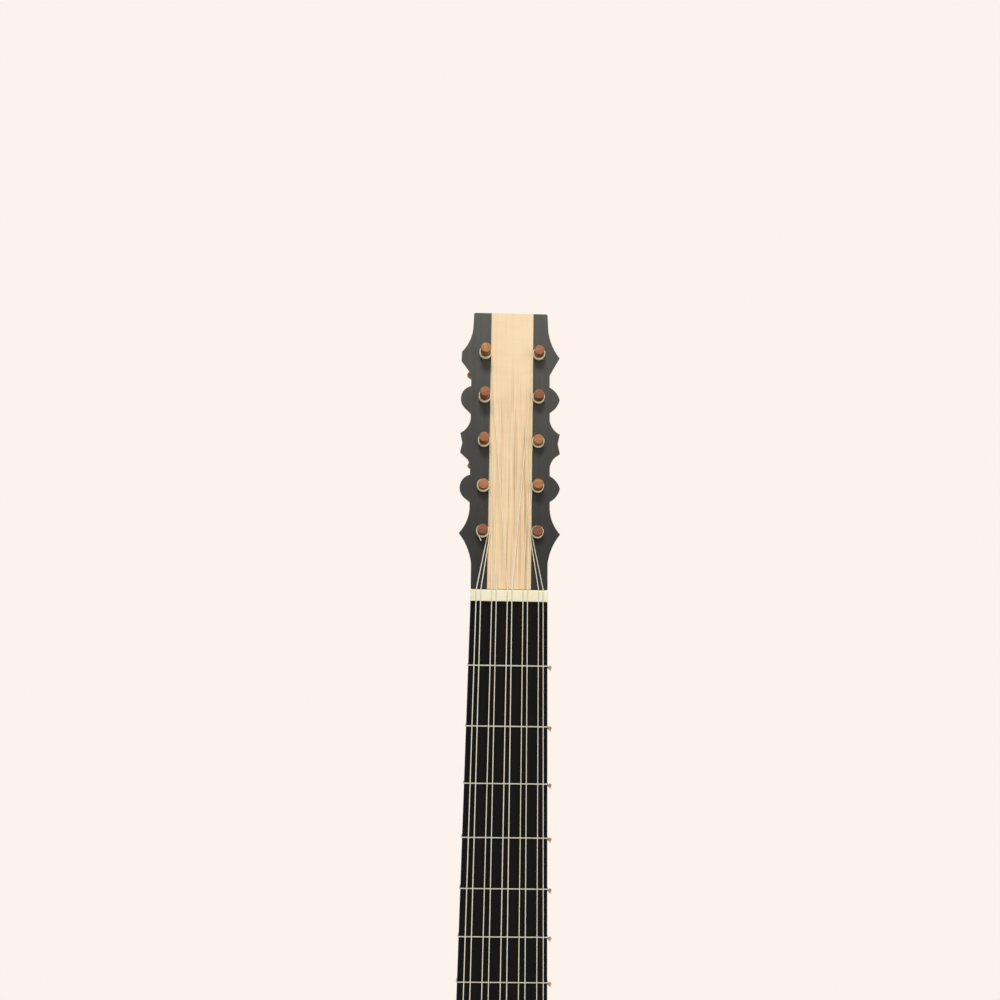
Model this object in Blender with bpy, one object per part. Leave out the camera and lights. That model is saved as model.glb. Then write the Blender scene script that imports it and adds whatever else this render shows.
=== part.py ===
"""Baroque guitar with five double courses of gut strings and ten rear friction pegs.

The guitar stands upright: +Z runs up the neck, its front faces -Y and its treble side is +X.
The plane y = 0 holds the fingerboard's surface and the soundboard's. The origin is on the
neck's centre line in that plane, at the edge of the nut where the strings start to sound.
Lengths are in metres.
"""

import math

import bmesh
import bpy
import numpy as np
from mathutils import Vector
from mathutils.geometry import interpolate_bezier

# Clearances
GAP = 0.0003
PEG_CLEARANCE = 0.00025
STRING_CLEARANCE = 0.0004
CUT_BEYOND = 0.001
GAP_SAMPLE = 0.0004
GAP_BEND = 6

# Sounding length and frets
SCALE_LENGTH = 0.690
TIED_FRETS = 9
BODY_FRET = 10
BODY_FRETS = (11, 12)
FRET_DIAMETER_FIRST = 0.00080
FRET_DIAMETER_LAST = 0.00066
KNOT_DIAMETER = 0.0021
KNOT_LENGTH = 0.0015
BODY_FRET_WIDTH = 0.0016
BODY_FRET_HEIGHT = 0.0010
BODY_FRET_OVERHANG = 0.0010

# Strings, from the bass side to the treble side
COURSES = 5
COURSE_PITCH_NUT = 0.00941
COURSE_PITCH_BRIDGE = 0.01407
PAIR_SPACING_NUT = 0.00274
PAIR_SPACING_BRIDGE = 0.00617
STRING_SHIFT_NUT = 0.00024
STRING_SHIFT_BRIDGE = 0.00155
STRING_HEIGHT_NUT = 0.0018
STRING_HEIGHT_BRIDGE = 0.0063
STRING_DIAMETERS = (0.00060, 0.00056, 0.00060, 0.00054, 0.00048)
WINDING_GAP = 0.00056
WINDING_TURNS = 3
WINDING_POINTS = 9
LOOSE_END = 0.0012
CUT_TAIL = 0.0056
TAIL_DIRECTION = math.radians(205)
TIE_OFFSET = 0.0015
TIE_REACH = 0.0012

# Nut
NUT_WIDTH = 0.0464
NUT_LENGTH = 0.0069
NUT_HEIGHT = 0.0020

# Fingerboard and neck
FINGERBOARD_THICKNESS = 0.0040
NECK_WIDTH_BODY = 0.0569
NECK_DEPTH_NUT = 0.0172
NECK_DEPTH_BODY = 0.0210
NECK_THROAT = 0.025
HEEL_LENGTH = 0.062
HEEL_DEPTH = 0.084
HEEL_CURVE = 2.6
NECK_ROUNDNESS = 2.4
HEEL_ROUNDNESS = 1.5
HEEL_STEPS = 7
NECK_PROFILE_STEPS = 12

# Head
HEAD_TILT = math.radians(16)
HEAD_FACE_Y = 0.0010
HEAD_FOOT_Z = 0.0065
HEAD_THICKNESS = 0.0140
HEAD_CROWN = 0.0277
HEAD_WAIST_WIDTH = 0.0491
HEAD_HORN_WIDTH = 0.0616
HEAD_NOTCH_WIDTH = 0.0590
HEAD_SHOULDER_WIDTH = 0.0473
HEAD_TOP_WIDTH = 0.0465
HEAD_BACK_INSET = 0.0040
FOOT_COVE = 0.0188
HORN_COVE = 0.0155
HORN_SPREAD = 0.0062
LOBE_DROP = 0.0006
LOBE_SPAN = 0.0081
LOBE_BULGE = 0.0011
CROWN_HORN_DROP = 0.0010
CROWN_HORN_RISE = 0.0115
CROWN_HORN_BLUNT = 0.0027
SHOULDER_SPAN = 0.0179
TOP_CORNER = 0.0011
COVE_SAG = 0.0014
ARC_STEP = math.radians(24)
FACING_THICKNESS = 0.0016
STRIP_WIDTH = 0.0264
STRIP_SHIFT_FOOT = -0.00013
STRIP_DRIFT = 0.0012

# Pegs
PEG_ROWS = 5
LOWEST_PEG = 0.0361
PEG_SPACING = 0.0289
PEG_OFFSET = 0.01670
PEG_TIP_DIAMETER = 0.0064
PEG_ROOT_DIAMETER = 0.0070
BASS_TIP_LENGTHS = (0.0082, 0.0072, 0.0104, 0.0124, 0.0122)
TREBLE_TIP_LENGTHS = (0.0062, 0.0090, 0.0076, 0.0092, 0.0096)
PEG_CHAMFER = 0.0004
PEG_STANDOFF = 0.0030
PEG_COLLAR_DIAMETER = 0.0094
PEG_COLLAR_LENGTH = 0.0026
THUMB_LENGTH = 0.0270
THUMB_WIDTH = 0.0220
THUMB_THICKNESS = 0.0060
THUMB_PROFILE = (
    # share of the thumb piece's length, share of its width, share of its thickness
    (0.30, 0.60, 0.90),
    (0.58, 1.00, 0.80),
    (0.84, 0.86, 0.72),
    (0.97, 0.42, 0.60),
    (1.00, 0.20, 0.40),
)
THUMB_NECK = 0.0016
PEG_SIDES = 10
PEG_HOLE_SIDES = 14
BASS_THUMB_TURNS = (100, 80, -33, 70, -10)
TREBLE_THUMB_TURNS = (65, 90, 75, 110, 60)

# Body
BODY_LENGTH = 0.462
UPPER_BOUT = 0.226
UPPER_BOUT_AT = 0.072
WAIST = 0.194
WAIST_AT = 0.190
LOWER_BOUT = 0.276
LOWER_BOUT_AT = 0.345
SHOULDER_FULLNESS = 0.60
WAIST_FULLNESS = 0.45
TAIL_FULLNESS = 0.60
RIB_DEPTH = 0.088
RIB_THICKNESS = 0.0020
SOUNDBOARD_THICKNESS = 0.0022
BACK_THICKNESS = 0.0025
BINDING_WIDTH = 0.0026
LINING_WIDTH = 0.0050
LINING_HEIGHT = 0.0120
NECK_BLOCK_WIDTH = 0.052
NECK_BLOCK_LENGTH = 0.034
TAIL_BLOCK_WIDTH = 0.060
TAIL_BLOCK_LENGTH = 0.014
BAR_WIDTH = 0.0065
BAR_HEIGHT = 0.0160
BAR_MARGIN = 0.0120
BACK_BAR_HEIGHT = 0.0130
BACK_BARS_AT = (0.110, 0.300)
NAIL_DIAMETER = 0.0040
NAIL_HEAD_DIAMETER = 0.0110
NAIL_HEAD_THICKNESS = 0.0020
NAIL_REACH = 0.030
NAIL_DEPTH = 0.030
NAIL_POINT_LENGTH = 0.009
BUTTON_SHANK_DIAMETER = 0.0060
BUTTON_DIAMETER = 0.0130
BUTTON_LENGTH = 0.0120
BUTTON_PROFILE = (
    # share of the button's length, share of its radius
    (0.15, 0.75),
    (0.30, 0.50),
    (0.60, 0.95),
    (0.80, 1.00),
    (1.00, 0.55),
)
BUTTON_SEAT = 0.75
BUTTON_SIDES = 14
BUTTON_HOLE_SIDES = 16
NAIL_SIDES = 8
OUTLINE_STEPS = (9, 6, 8, 12)

# Soundhole and rose
SOUNDHOLE_AT = 0.150
SOUNDHOLE_DIAMETER = 0.080
SOUNDHOLE_SIDES = 36
RING_INNER_DIAMETER = 0.088
RING_WIDTH = 0.0080
RING_THICKNESS = 0.0008
ROSE_FLANGE = 0.0060
ROSE_SHEET = 0.0008
ROSE_TIERS = 3
ROSE_TIER_WIDTH = 0.0110
ROSE_TIER_DROP = 0.0060
ROSE_PETALS = 12
ROSE_PETAL_DIAMETER = 0.0058
ROSE_CENTRE_PETALS = 6
ROSE_CENTRE_PETAL_DIAMETER = 0.0038
PETAL_SIDES = 8
ROSE_SEGMENTS = 20

# Bridge
BRIDGE_WIDTH = 0.118
BRIDGE_TOP_WIDTH = 0.092
BRIDGE_LENGTH = 0.0140
BRIDGE_HEIGHT = 0.0085
BRIDGE_END_HEIGHT = 0.0030
BRIDGE_HOLE_DIAMETER = 0.0016
BRIDGE_HOLE_SIDES = 8
SCROLL_RADIUS = 0.0150
SCROLL_TURN = math.radians(285)
SCROLL_STEPS = 16
SCROLL_SHRINK = 0.62
SCROLL_WIDTH = 0.0068
SCROLL_TIP_WIDTH = 0.0020
SCROLL_THICKNESS = 0.0014


def remove_everything():
    for item in list(bpy.data.objects):
        bpy.data.objects.remove(item, do_unlink=True)


# Materials
def material(name, colour, roughness, metallic=0.0):
    made = bpy.data.materials.new(name)
    made.use_nodes = True
    shader = made.node_tree.nodes["Principled BSDF"]
    shader.inputs["Base Color"].default_value = (*colour, 1.0)
    shader.inputs["Roughness"].default_value = roughness
    shader.inputs["Metallic"].default_value = metallic
    made.diffuse_color = (*colour, 1.0)
    return made


def make_materials():
    return {
        "ebonised": material("ebonised", (0.045, 0.043, 0.038), 0.45),
        "ebony": material("ebony", (0.008, 0.006, 0.005), 0.35),
        "maple": material("maple", (0.86, 0.66, 0.43), 0.45),
        "bone": material("bone", (0.88, 0.82, 0.58), 0.35),
        "rosewood": material("rosewood", (0.36, 0.13, 0.07), 0.40),
        "gut": material("gut", (0.74, 0.69, 0.55), 0.35),
        "fret_gut": material("fret_gut", (0.48, 0.43, 0.33), 0.40),
        "spruce": material("spruce", (0.72, 0.47, 0.22), 0.45),
        "parchment": material("parchment", (0.80, 0.70, 0.50), 0.60),
        "iron": material("iron", (0.12, 0.11, 0.10), 0.55, 1.0),
    }


# Shape helpers
def add_object(name, data, coat, parent=None):
    made = bpy.data.objects.new(name, data)
    bpy.context.collection.objects.link(made)
    if coat is not None:
        data.materials.append(coat)
    made.parent = parent
    return made


def shell(bm, rings):
    """Join rings of equal point counts into one closed shell with a face on each end."""
    layers = []
    for ring in rings:
        layers.append([bm.verts.new(point) for point in ring])
    count = len(layers[0])
    for near, far in zip(layers, layers[1:]):
        for index in range(count):
            other = (index + 1) % count
            bm.faces.new((near[index], near[other], far[other], far[index]))
    bm.faces.new(layers[0][::-1])
    bm.faces.new(layers[-1])


def loft(name, shells, coat, parent=None, smooth=None):
    """One mesh object from one or more shells, each a list of rings."""
    bm = bmesh.new()
    for rings in shells:
        shell(bm, rings)
    bmesh.ops.recalc_face_normals(bm, faces=bm.faces)
    mesh = bpy.data.meshes.new(name)
    bm.to_mesh(mesh)
    bm.free()
    if smooth is not None:
        mesh.shade_smooth()
        mesh.set_sharp_from_angle(angle=math.radians(smooth))
    return add_object(name, mesh, coat, parent)


def plate(name, outline, near, far, coat, parent=None):
    """A flat piece with the (x, z) outline, from y = near to y = far."""
    rings = [[(x, y, z) for x, z in outline] for y in (near, far)]
    return loft(name, [rings], coat, parent)


def box(name, x_range, y_range, z_range, coat):
    low, high = x_range
    bottom, top = z_range
    outline = [(low, bottom), (high, bottom), (high, top), (low, top)]
    return plate(name, outline, y_range[0], y_range[1], coat)


def circle(radius_x, radius_z, sides, turn=0.0):
    points = []
    for index in range(sides):
        angle = turn + 2 * math.pi * index / sides
        points.append((radius_x * math.cos(angle), radius_z * math.sin(angle)))
    return points


def rod_along_y(centre, stations, sides):
    """Rings of a round rod along Y: each station is (y, radius)."""
    rings = []
    for y, radius in stations:
        rings.append([(centre[0] + x, y, centre[1] + z) for x, z in circle(radius, radius, sides)])
    return rings


def rod_along_z(centre, stations, sides):
    """Rings of a round rod along Z: each station is (z, radius)."""
    rings = []
    for z, radius in stations:
        rings.append([(centre[0] + x, centre[1] + y, z) for x, y in circle(radius, radius, sides)])
    return rings


def tube(name, points, diameter, coat, widths=None):
    """A round cord through the points; widths holds each point's share of the diameter."""
    curve = bpy.data.curves.new(name, "CURVE")
    curve.dimensions = "3D"
    curve.bevel_depth = diameter / 2
    curve.bevel_resolution = 1
    curve.use_fill_caps = True
    spline = curve.splines.new("POLY")
    spline.points.add(len(points) - 1)
    for index, point in enumerate(points):
        spline.points[index].co = (*point, 1.0)
        spline.points[index].radius = 1.0 if widths is None else widths[index]
    return add_object(name, curve, coat)


def as_cutter(item):
    item.hide_render = True
    item.display_type = "WIRE"
    return item


def cut(target, cutter):
    modifier = target.modifiers.new("cut_by_" + cutter.name, "BOOLEAN")
    modifier.operation = "DIFFERENCE"
    modifier.object = cutter


def between(start, end, share):
    return start + (end - start) * share


def offset_line(points, distance):
    """The open line of 2-D points, moved sideways to the right of its direction."""
    moved = []
    last = len(points) - 1
    for index, (x, y) in enumerate(points):
        before = points[max(index - 1, 0)]
        after = points[min(index + 1, last)]
        along = Vector((after[0] - before[0], after[1] - before[1])).normalized()
        moved.append((x + along.y * distance, y - along.x * distance))
    return moved


def arc_points(start, end, sag):
    """Points after start, up to end, on an arc that leans sag to the left of the chord."""
    if sag == 0:
        return [end]
    chord = Vector(end) - Vector(start)
    length = chord.length
    along = chord / length
    across = Vector((-along.y, along.x))
    half_angle = 2 * math.atan(2 * sag / length)
    radius = length / (2 * math.sin(half_angle))
    steps = max(2, math.ceil(abs(2 * half_angle) / ARC_STEP))
    middle = (Vector(start) + Vector(end)) / 2
    points = []
    for step in range(1, steps + 1):
        angle = between(-half_angle, half_angle, step / steps)
        rise = radius * (math.cos(angle) - math.cos(half_angle))
        point = middle + along * radius * math.sin(angle) + across * rise
        points.append((point.x, point.y))
    return points


def least_gap(points, diameter):
    """The least distance from a cord's surface to itself, past the bend next to each place."""
    dense = []
    for start, end in zip(points, points[1:]):
        steps = max(1, math.ceil((Vector(end) - Vector(start)).length / GAP_SAMPLE))
        for step in range(steps):
            dense.append(Vector(start).lerp(Vector(end), step / steps))
    places = np.array(dense)
    travelled = np.concatenate([[0.0], np.cumsum(np.linalg.norm(np.diff(places, axis=0), axis=1))])
    least = math.inf
    for index in range(len(places)):
        far = travelled[index:] - travelled[index] > GAP_BEND * diameter
        others = places[index:][far]
        if len(others):
            least = min(least, np.linalg.norm(others - places[index], axis=1).min())
    return least - diameter


# Places worked out from the sizes
def fret_z(number):
    return -SCALE_LENGTH * (1 - 2 ** (-number / 12))


BODY_TOP = fret_z(BODY_FRET)
BODY_TAIL = BODY_TOP - BODY_LENGTH
HEAD_BASE = NUT_LENGTH + GAP
HEAD_LENGTH = LOWEST_PEG + (PEG_ROWS - 1) * PEG_SPACING + HEAD_CROWN
NECK_FRONT = FINGERBOARD_THICKNESS + GAP
RIB_FRONT = SOUNDBOARD_THICKNESS + GAP
BACK_FRONT = RIB_DEPTH + GAP
WINDING_RADIUS_OUT = PEG_TIP_DIAMETER / 2 + GAP + max(STRING_DIAMETERS)


def peg_height(row):
    """Height of a peg up the head's face; row 0 is the lowest pair."""
    return LOWEST_PEG + row * PEG_SPACING


def strip_centre(height):
    return STRIP_SHIFT_FOOT + STRIP_DRIFT * height / HEAD_LENGTH


def peg_side_place(row, side):
    """Sideways place of a peg; side is -1 on the bass side and 1 on the treble side."""
    return strip_centre(peg_height(row)) + side * PEG_OFFSET


def head_to_world(across, depth, height):
    """A point given across, behind and up the head's face, in the guitar's own frame."""
    lean = math.sin(HEAD_TILT)
    rise = math.cos(HEAD_TILT)
    y = HEAD_FACE_Y + height * lean + depth * rise
    z = HEAD_FOOT_Z + height * rise - depth * lean
    return Vector((across, y, z))


def world_to_head(point):
    lean = math.sin(HEAD_TILT)
    rise = math.cos(HEAD_TILT)
    back = point.y - HEAD_FACE_Y
    up = point.z - HEAD_FOOT_Z
    return Vector((point.x, back * rise - up * lean, back * lean + up * rise))


def head_foot(depth):
    """Height up the face of the level plane that ends the head, at one depth behind the face."""
    return (HEAD_BASE - HEAD_FOOT_Z + depth * math.sin(HEAD_TILT)) / math.cos(HEAD_TILT)


def head_back_y(z):
    height = (z - HEAD_FOOT_Z + HEAD_THICKNESS * math.sin(HEAD_TILT)) / math.cos(HEAD_TILT)
    return head_to_world(0.0, HEAD_THICKNESS, height).y


def neck_half_width(z):
    return between(NUT_WIDTH, NECK_WIDTH_BODY, min(z, 0.0) / BODY_TOP) / 2


def heel_share(z):
    start = BODY_TOP + HEEL_LENGTH
    return max(0.0, (start - z) / HEEL_LENGTH)


def neck_depth(z):
    """How far the neck's back lies behind the fingerboard's surface."""
    shaft = between(NECK_DEPTH_NUT, NECK_DEPTH_BODY, min(z, 0.0) / BODY_TOP)
    throat = min(max((z + NECK_THROAT) / (NUT_LENGTH + NECK_THROAT), 0.0), 1.0)
    shaft = between(shaft, head_back_y(NUT_LENGTH), throat ** 2)
    return between(shaft, HEEL_DEPTH, heel_share(z) ** HEEL_CURVE)


def neck_section(z):
    """The neck's (x, y) profile from the bass edge, round the back, to the treble edge."""
    half = neck_half_width(z)
    depth = neck_depth(z) - NECK_FRONT
    power = 2 / between(NECK_ROUNDNESS, HEEL_ROUNDNESS, min(heel_share(z), 1.0))
    points = []
    for step in range(NECK_PROFILE_STEPS + 1):
        angle = math.pi * step / NECK_PROFILE_STEPS
        side = -math.copysign(abs(math.cos(angle)) ** power, math.cos(angle))
        points.append((half * side, NECK_FRONT + depth * abs(math.sin(angle)) ** power))
    return points


def neck_stations():
    shaft_end = BODY_TOP + HEEL_LENGTH
    throat = [NUT_LENGTH, between(NUT_LENGTH, -NECK_THROAT, 0.5), -NECK_THROAT]
    shaft = [between(-NECK_THROAT, shaft_end, share) for share in (0.5, 1.0)]
    heel_end = BODY_TOP + GAP
    heel = [between(shaft_end, heel_end, (step + 1) / HEEL_STEPS) for step in range(HEEL_STEPS)]
    return throat + shaft + heel


def neck_surface(z):
    """The profile of the flat-sided neck at any height, between its stations."""
    stations = neck_stations()
    for upper, lower in zip(stations, stations[1:]):
        if upper >= z >= lower:
            share = (upper - z) / (upper - lower)
            pairs = zip(neck_section(upper), neck_section(lower))
            return [(between(a[0], b[0], share), between(a[1], b[1], share)) for a, b in pairs]
    return neck_section(z)


def body_edge():
    """The treble half of the body's outline as (x, z), from the neck round to the tail."""
    flat = NECK_WIDTH_BODY / 2 + GAP
    upper = Vector((UPPER_BOUT / 2, UPPER_BOUT_AT))
    waist = Vector((WAIST / 2, WAIST_AT))
    lower = Vector((LOWER_BOUT / 2, LOWER_BOUT_AT))
    shoulder = Vector((flat, 0.0))
    tail = Vector((0.0, BODY_LENGTH))
    to_waist = Vector((0.0, (WAIST_AT - UPPER_BOUT_AT) * WAIST_FULLNESS))
    to_lower = Vector((0.0, (LOWER_BOUT_AT - WAIST_AT) * WAIST_FULLNESS))
    stretches = [
        (shoulder, shoulder + Vector(((upper.x - flat) * SHOULDER_FULLNESS, 0.0)),
         upper - Vector((0.0, UPPER_BOUT_AT * SHOULDER_FULLNESS)), upper),
        (upper, upper + to_waist, waist - to_waist, waist),
        (waist, waist + to_lower, lower - to_lower, lower),
        (lower, lower + Vector((0.0, (BODY_LENGTH - LOWER_BOUT_AT) * TAIL_FULLNESS)),
         tail + Vector((lower.x * TAIL_FULLNESS, 0.0)), tail),
    ]
    points = [(0.0, 0.0)]
    for (start, leave, arrive, end), steps in zip(stretches, OUTLINE_STEPS):
        for point in interpolate_bezier(start, leave, arrive, end, steps)[:-1]:
            points.append((point.x, point.y))
    points.append((tail.x, tail.y))
    return [(x, BODY_TOP - down) for x, down in points]


def inner_edge(inset):
    return offset_line(body_edge(), inset)


def from_x_to_x(points, top_x, tail_x):
    """The stretch of a half outline from top_x on its top to tail_x on its tail."""
    kept = list(points)
    while kept[1][0] < top_x:
        kept.pop(0)
    share = (top_x - kept[0][0]) / (kept[1][0] - kept[0][0])
    kept[0] = (top_x, between(kept[0][1], kept[1][1], share))
    while kept[-2][0] < tail_x:
        kept.pop()
    share = (tail_x - kept[-1][0]) / (kept[-2][0] - kept[-1][0])
    kept[-1] = (tail_x, between(kept[-1][1], kept[-2][1], share))
    return kept


def tail_stretch(points, start_x):
    """The end of a half outline, from start_x on its tail to the centre line."""
    from_tail = points[::-1]
    count = 1
    while from_tail[count][0] < start_x:
        count += 1
    inner, outer = from_tail[count - 1], from_tail[count]
    share = (start_x - inner[0]) / (outer[0] - inner[0])
    return [(start_x, between(inner[1], outer[1], share))] + from_tail[:count][::-1]


def half_width_at(z, inset):
    for (x_a, z_a), (x_b, z_b) in zip(inner_edge(inset), inner_edge(inset)[1:]):
        if z_a >= z >= z_b and z_a > z_b:
            return between(x_a, x_b, (z_a - z) / (z_a - z_b))
    return 0.0


def mirrored(points):
    return [(-x, z) for x, z in points]


def whole_outline(half):
    return half + mirrored(half[-2:0:-1])


def strip_ring(outer, inner, side):
    """The closed outline of a strip between two half outlines on one side of the body."""
    outline = outer + inner[::-1]
    return outline if side > 0 else mirrored(outline)


# String places
def string_place(number, pitch, spacing, shift):
    course, second = divmod(number, 2)
    centre = (course - (COURSES - 1) / 2) * pitch
    return shift + centre + (second - 0.5) * spacing


def nut_place(number):
    return string_place(number, COURSE_PITCH_NUT, PAIR_SPACING_NUT, STRING_SHIFT_NUT)


def bridge_place(number):
    return string_place(number, COURSE_PITCH_BRIDGE, PAIR_SPACING_BRIDGE, STRING_SHIFT_BRIDGE)


def string_peg(number):
    """Row and side of the peg that a string winds on; the outer strings use the lowest pegs."""
    if number < COURSES:
        return number, -1
    return 2 * COURSES - 1 - number, 1


# Head pieces
def lobe(middle, waist, horn, pointed):
    start = (middle - LOBE_SPAN, waist, 0)
    if pointed:
        return [start, (middle, horn, LOBE_BULGE), (middle + LOBE_SPAN, waist, LOBE_BULGE)]
    return [start, (middle + LOBE_SPAN, waist, horn - waist)]


def head_edge(foot, side):
    """One side of the head as (across, up), from its foot to its top corner.

    The bass side has round lobes and a blunt top horn, the treble side pointed ones.
    """
    waist = HEAD_WAIST_WIDTH / 2
    horn = HEAD_HORN_WIDTH / 2
    notch = HEAD_NOTCH_WIDTH / 2
    foot_half = NUT_WIDTH / 2
    rows = [peg_height(row) - LOBE_DROP for row in range(PEG_ROWS)]
    low, lower_lobe, middle, upper_lobe, top = rows
    pointed = side > 0
    blunt = 0.0 if pointed else CROWN_HORN_BLUNT
    crown = top - CROWN_HORN_DROP
    keys = [
        (foot, foot_half, 0),
        (low - FOOT_COVE, foot_half, 0),
        (low, horn, -COVE_SAG),
        (low + HORN_COVE, waist, -COVE_SAG),
        *lobe(lower_lobe, waist, horn, pointed),
        (middle - HORN_COVE, waist, 0),
        (middle - HORN_SPREAD, horn, -COVE_SAG),
        (middle, notch, 0),
        (middle + HORN_SPREAD, horn, 0),
        (middle + HORN_COVE, waist, -COVE_SAG),
        *lobe(upper_lobe, waist, horn, pointed),
        (crown - CROWN_HORN_RISE, waist, 0),
        (crown - blunt, horn, 0),
        (crown + blunt + GAP, horn - GAP, 0),
        (top + SHOULDER_SPAN, HEAD_SHOULDER_WIDTH / 2, -COVE_SAG),
        (HEAD_LENGTH - TOP_CORNER, HEAD_TOP_WIDTH / 2, 0),
        (HEAD_LENGTH, HEAD_TOP_WIDTH / 2 - TOP_CORNER, 0.3 * TOP_CORNER),
    ]
    points = [keys[0][:2]]
    for key, following in zip(keys, keys[1:]):
        points += arc_points(key[:2], following[:2], following[2])
    return [(side * half, up) for up, half in points]


def strip_edge(height, side, seam):
    return strip_centre(height) + side * (STRIP_WIDTH / 2 + seam)


def core_outline(foot):
    return head_edge(foot, 1) + head_edge(foot, -1)[::-1]


def bass_outline(foot):
    inner = [(strip_edge(HEAD_LENGTH, -1, GAP), HEAD_LENGTH), (strip_edge(foot, -1, GAP), foot)]
    return head_edge(foot, -1) + inner


def treble_outline(foot):
    inner = [(strip_edge(HEAD_LENGTH, 1, GAP), HEAD_LENGTH), (strip_edge(foot, 1, GAP), foot)]
    return head_edge(foot, 1) + inner


def centre_outline(foot):
    return [
        (strip_edge(foot, -1, 0), foot),
        (strip_edge(foot, 1, 0), foot),
        (strip_edge(HEAD_LENGTH, 1, 0), HEAD_LENGTH),
        (strip_edge(HEAD_LENGTH, -1, 0), HEAD_LENGTH),
    ]


def head_plate(name, outline, near, far, coat, head_frame, inset=0.0):
    """A layer of the head in the head's own frame: x across, y behind the face, z up it.

    The inset is how much further in the layer's sides lie on its far face.
    """
    rings = []
    for depth, narrower in ((near, 0.0), (far, inset)):
        foot = head_foot(depth)
        rings.append([(x - math.copysign(narrower, x), depth, z) for x, z in outline(foot)])
    return loft(name, [rings], coat, head_frame)


def peg_hole_radius(depth):
    share = depth / HEAD_THICKNESS
    return between(PEG_TIP_DIAMETER, PEG_ROOT_DIAMETER, share) / 2 + PEG_CLEARANCE


def make_peg_hole_cutter(head_frame):
    depths = (-CUT_BEYOND, HEAD_THICKNESS + CUT_BEYOND)
    stations = [(depth, peg_hole_radius(depth)) for depth in depths]
    shells = []
    for row in range(PEG_ROWS):
        for side in (-1, 1):
            centre = (peg_side_place(row, side), peg_height(row))
            shells.append(rod_along_y(centre, stations, PEG_HOLE_SIDES))
    return as_cutter(loft("peg_hole_cutter", shells, None, head_frame))


def make_head(coats, head_frame):
    cutter = make_peg_hole_cutter(head_frame)
    core = head_plate("peghead", core_outline, FACING_THICKNESS + GAP, HEAD_THICKNESS,
                      coats["ebonised"], head_frame, HEAD_BACK_INSET)
    cut(core, cutter)
    for name, outline in (("head_facing_bass", bass_outline), ("head_facing_treble", treble_outline)):
        facing = head_plate(name, outline, 0.0, FACING_THICKNESS, coats["ebonised"], head_frame)
        cut(facing, cutter)
    head_plate("head_facing_centre", centre_outline, 0.0, FACING_THICKNESS, coats["maple"], head_frame)


# Pegs
def peg_rings(tip_length):
    """Rings of a peg along Y, from its tip in front of the head to its flat thumb piece."""
    tip = PEG_TIP_DIAMETER / 2
    root = PEG_ROOT_DIAMETER / 2
    collar = PEG_COLLAR_DIAMETER / 2
    collar_start = HEAD_THICKNESS + PEG_STANDOFF
    thumb_start = collar_start + PEG_COLLAR_LENGTH
    stations = [
        (-tip_length, tip - PEG_CHAMFER, tip - PEG_CHAMFER),
        (-tip_length + PEG_CHAMFER, tip, tip),
        (0.0, tip, tip),
        (HEAD_THICKNESS, root, root),
        (collar_start, root, root),
        (collar_start + GAP, collar, collar),
        (thumb_start, collar, collar),
        (thumb_start + THUMB_NECK, root, root),
    ]
    for along, wide, thick in THUMB_PROFILE:
        y = thumb_start + along * THUMB_LENGTH
        stations.append((y, wide * THUMB_WIDTH / 2, thick * THUMB_THICKNESS / 2))
    rings = []
    for y, half_x, half_z in stations:
        rings.append([(x, y, z) for x, z in circle(half_x, half_z, PEG_SIDES)])
    return rings


def make_pegs(coats, head_frame):
    sets = (
        (-1, "bass", BASS_TIP_LENGTHS, BASS_THUMB_TURNS),
        (1, "treble", TREBLE_TIP_LENGTHS, TREBLE_THUMB_TURNS),
    )
    for side, side_name, tips, turns in sets:
        for row in range(PEG_ROWS):
            name = f"peg_{side_name}_{PEG_ROWS - row}"
            peg = loft(name, [peg_rings(tips[row])], coats["rosewood"], head_frame, smooth=35)
            peg.location = (peg_side_place(row, side), 0.0, peg_height(row))
            peg.rotation_euler = (0.0, math.radians(turns[row]), 0.0)


# Neck, fingerboard, nut and frets
def make_neck(coats, nail_cutter):
    rings = []
    for z in neck_stations():
        rings.append([(x, y, z) for x, y in neck_section(z)])
    neck = loft("neck", [rings], coats["ebonised"], smooth=40)
    cut(neck, nail_cutter)


def make_fingerboard(coats):
    top = -GAP
    end = BODY_TOP + GAP
    outline = [
        (-neck_half_width(end), end),
        (neck_half_width(end), end),
        (neck_half_width(top), top),
        (-neck_half_width(top), top),
    ]
    plate("fingerboard", outline, 0.0, FINGERBOARD_THICKNESS, coats["ebony"])


def make_nut(coats):
    half = NUT_WIDTH / 2
    profile = [(-half, FINGERBOARD_THICKNESS), (-half, -NUT_HEIGHT)]
    for number in range(2 * COURSES):
        radius = STRING_DIAMETERS[number // 2] / 2 + GAP
        middle = nut_place(number)
        floor = -STRING_HEIGHT_NUT + radius
        profile += [(middle - radius, -NUT_HEIGHT), (middle - radius, floor)]
        profile += [(middle + radius, floor), (middle + radius, -NUT_HEIGHT)]
    profile += [(half, -NUT_HEIGHT), (half, FINGERBOARD_THICKNESS)]
    rings = [[(x, y, z) for x, y in profile] for z in (0.0, NUT_LENGTH)]
    loft("nut", [rings], coats["bone"])


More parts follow.
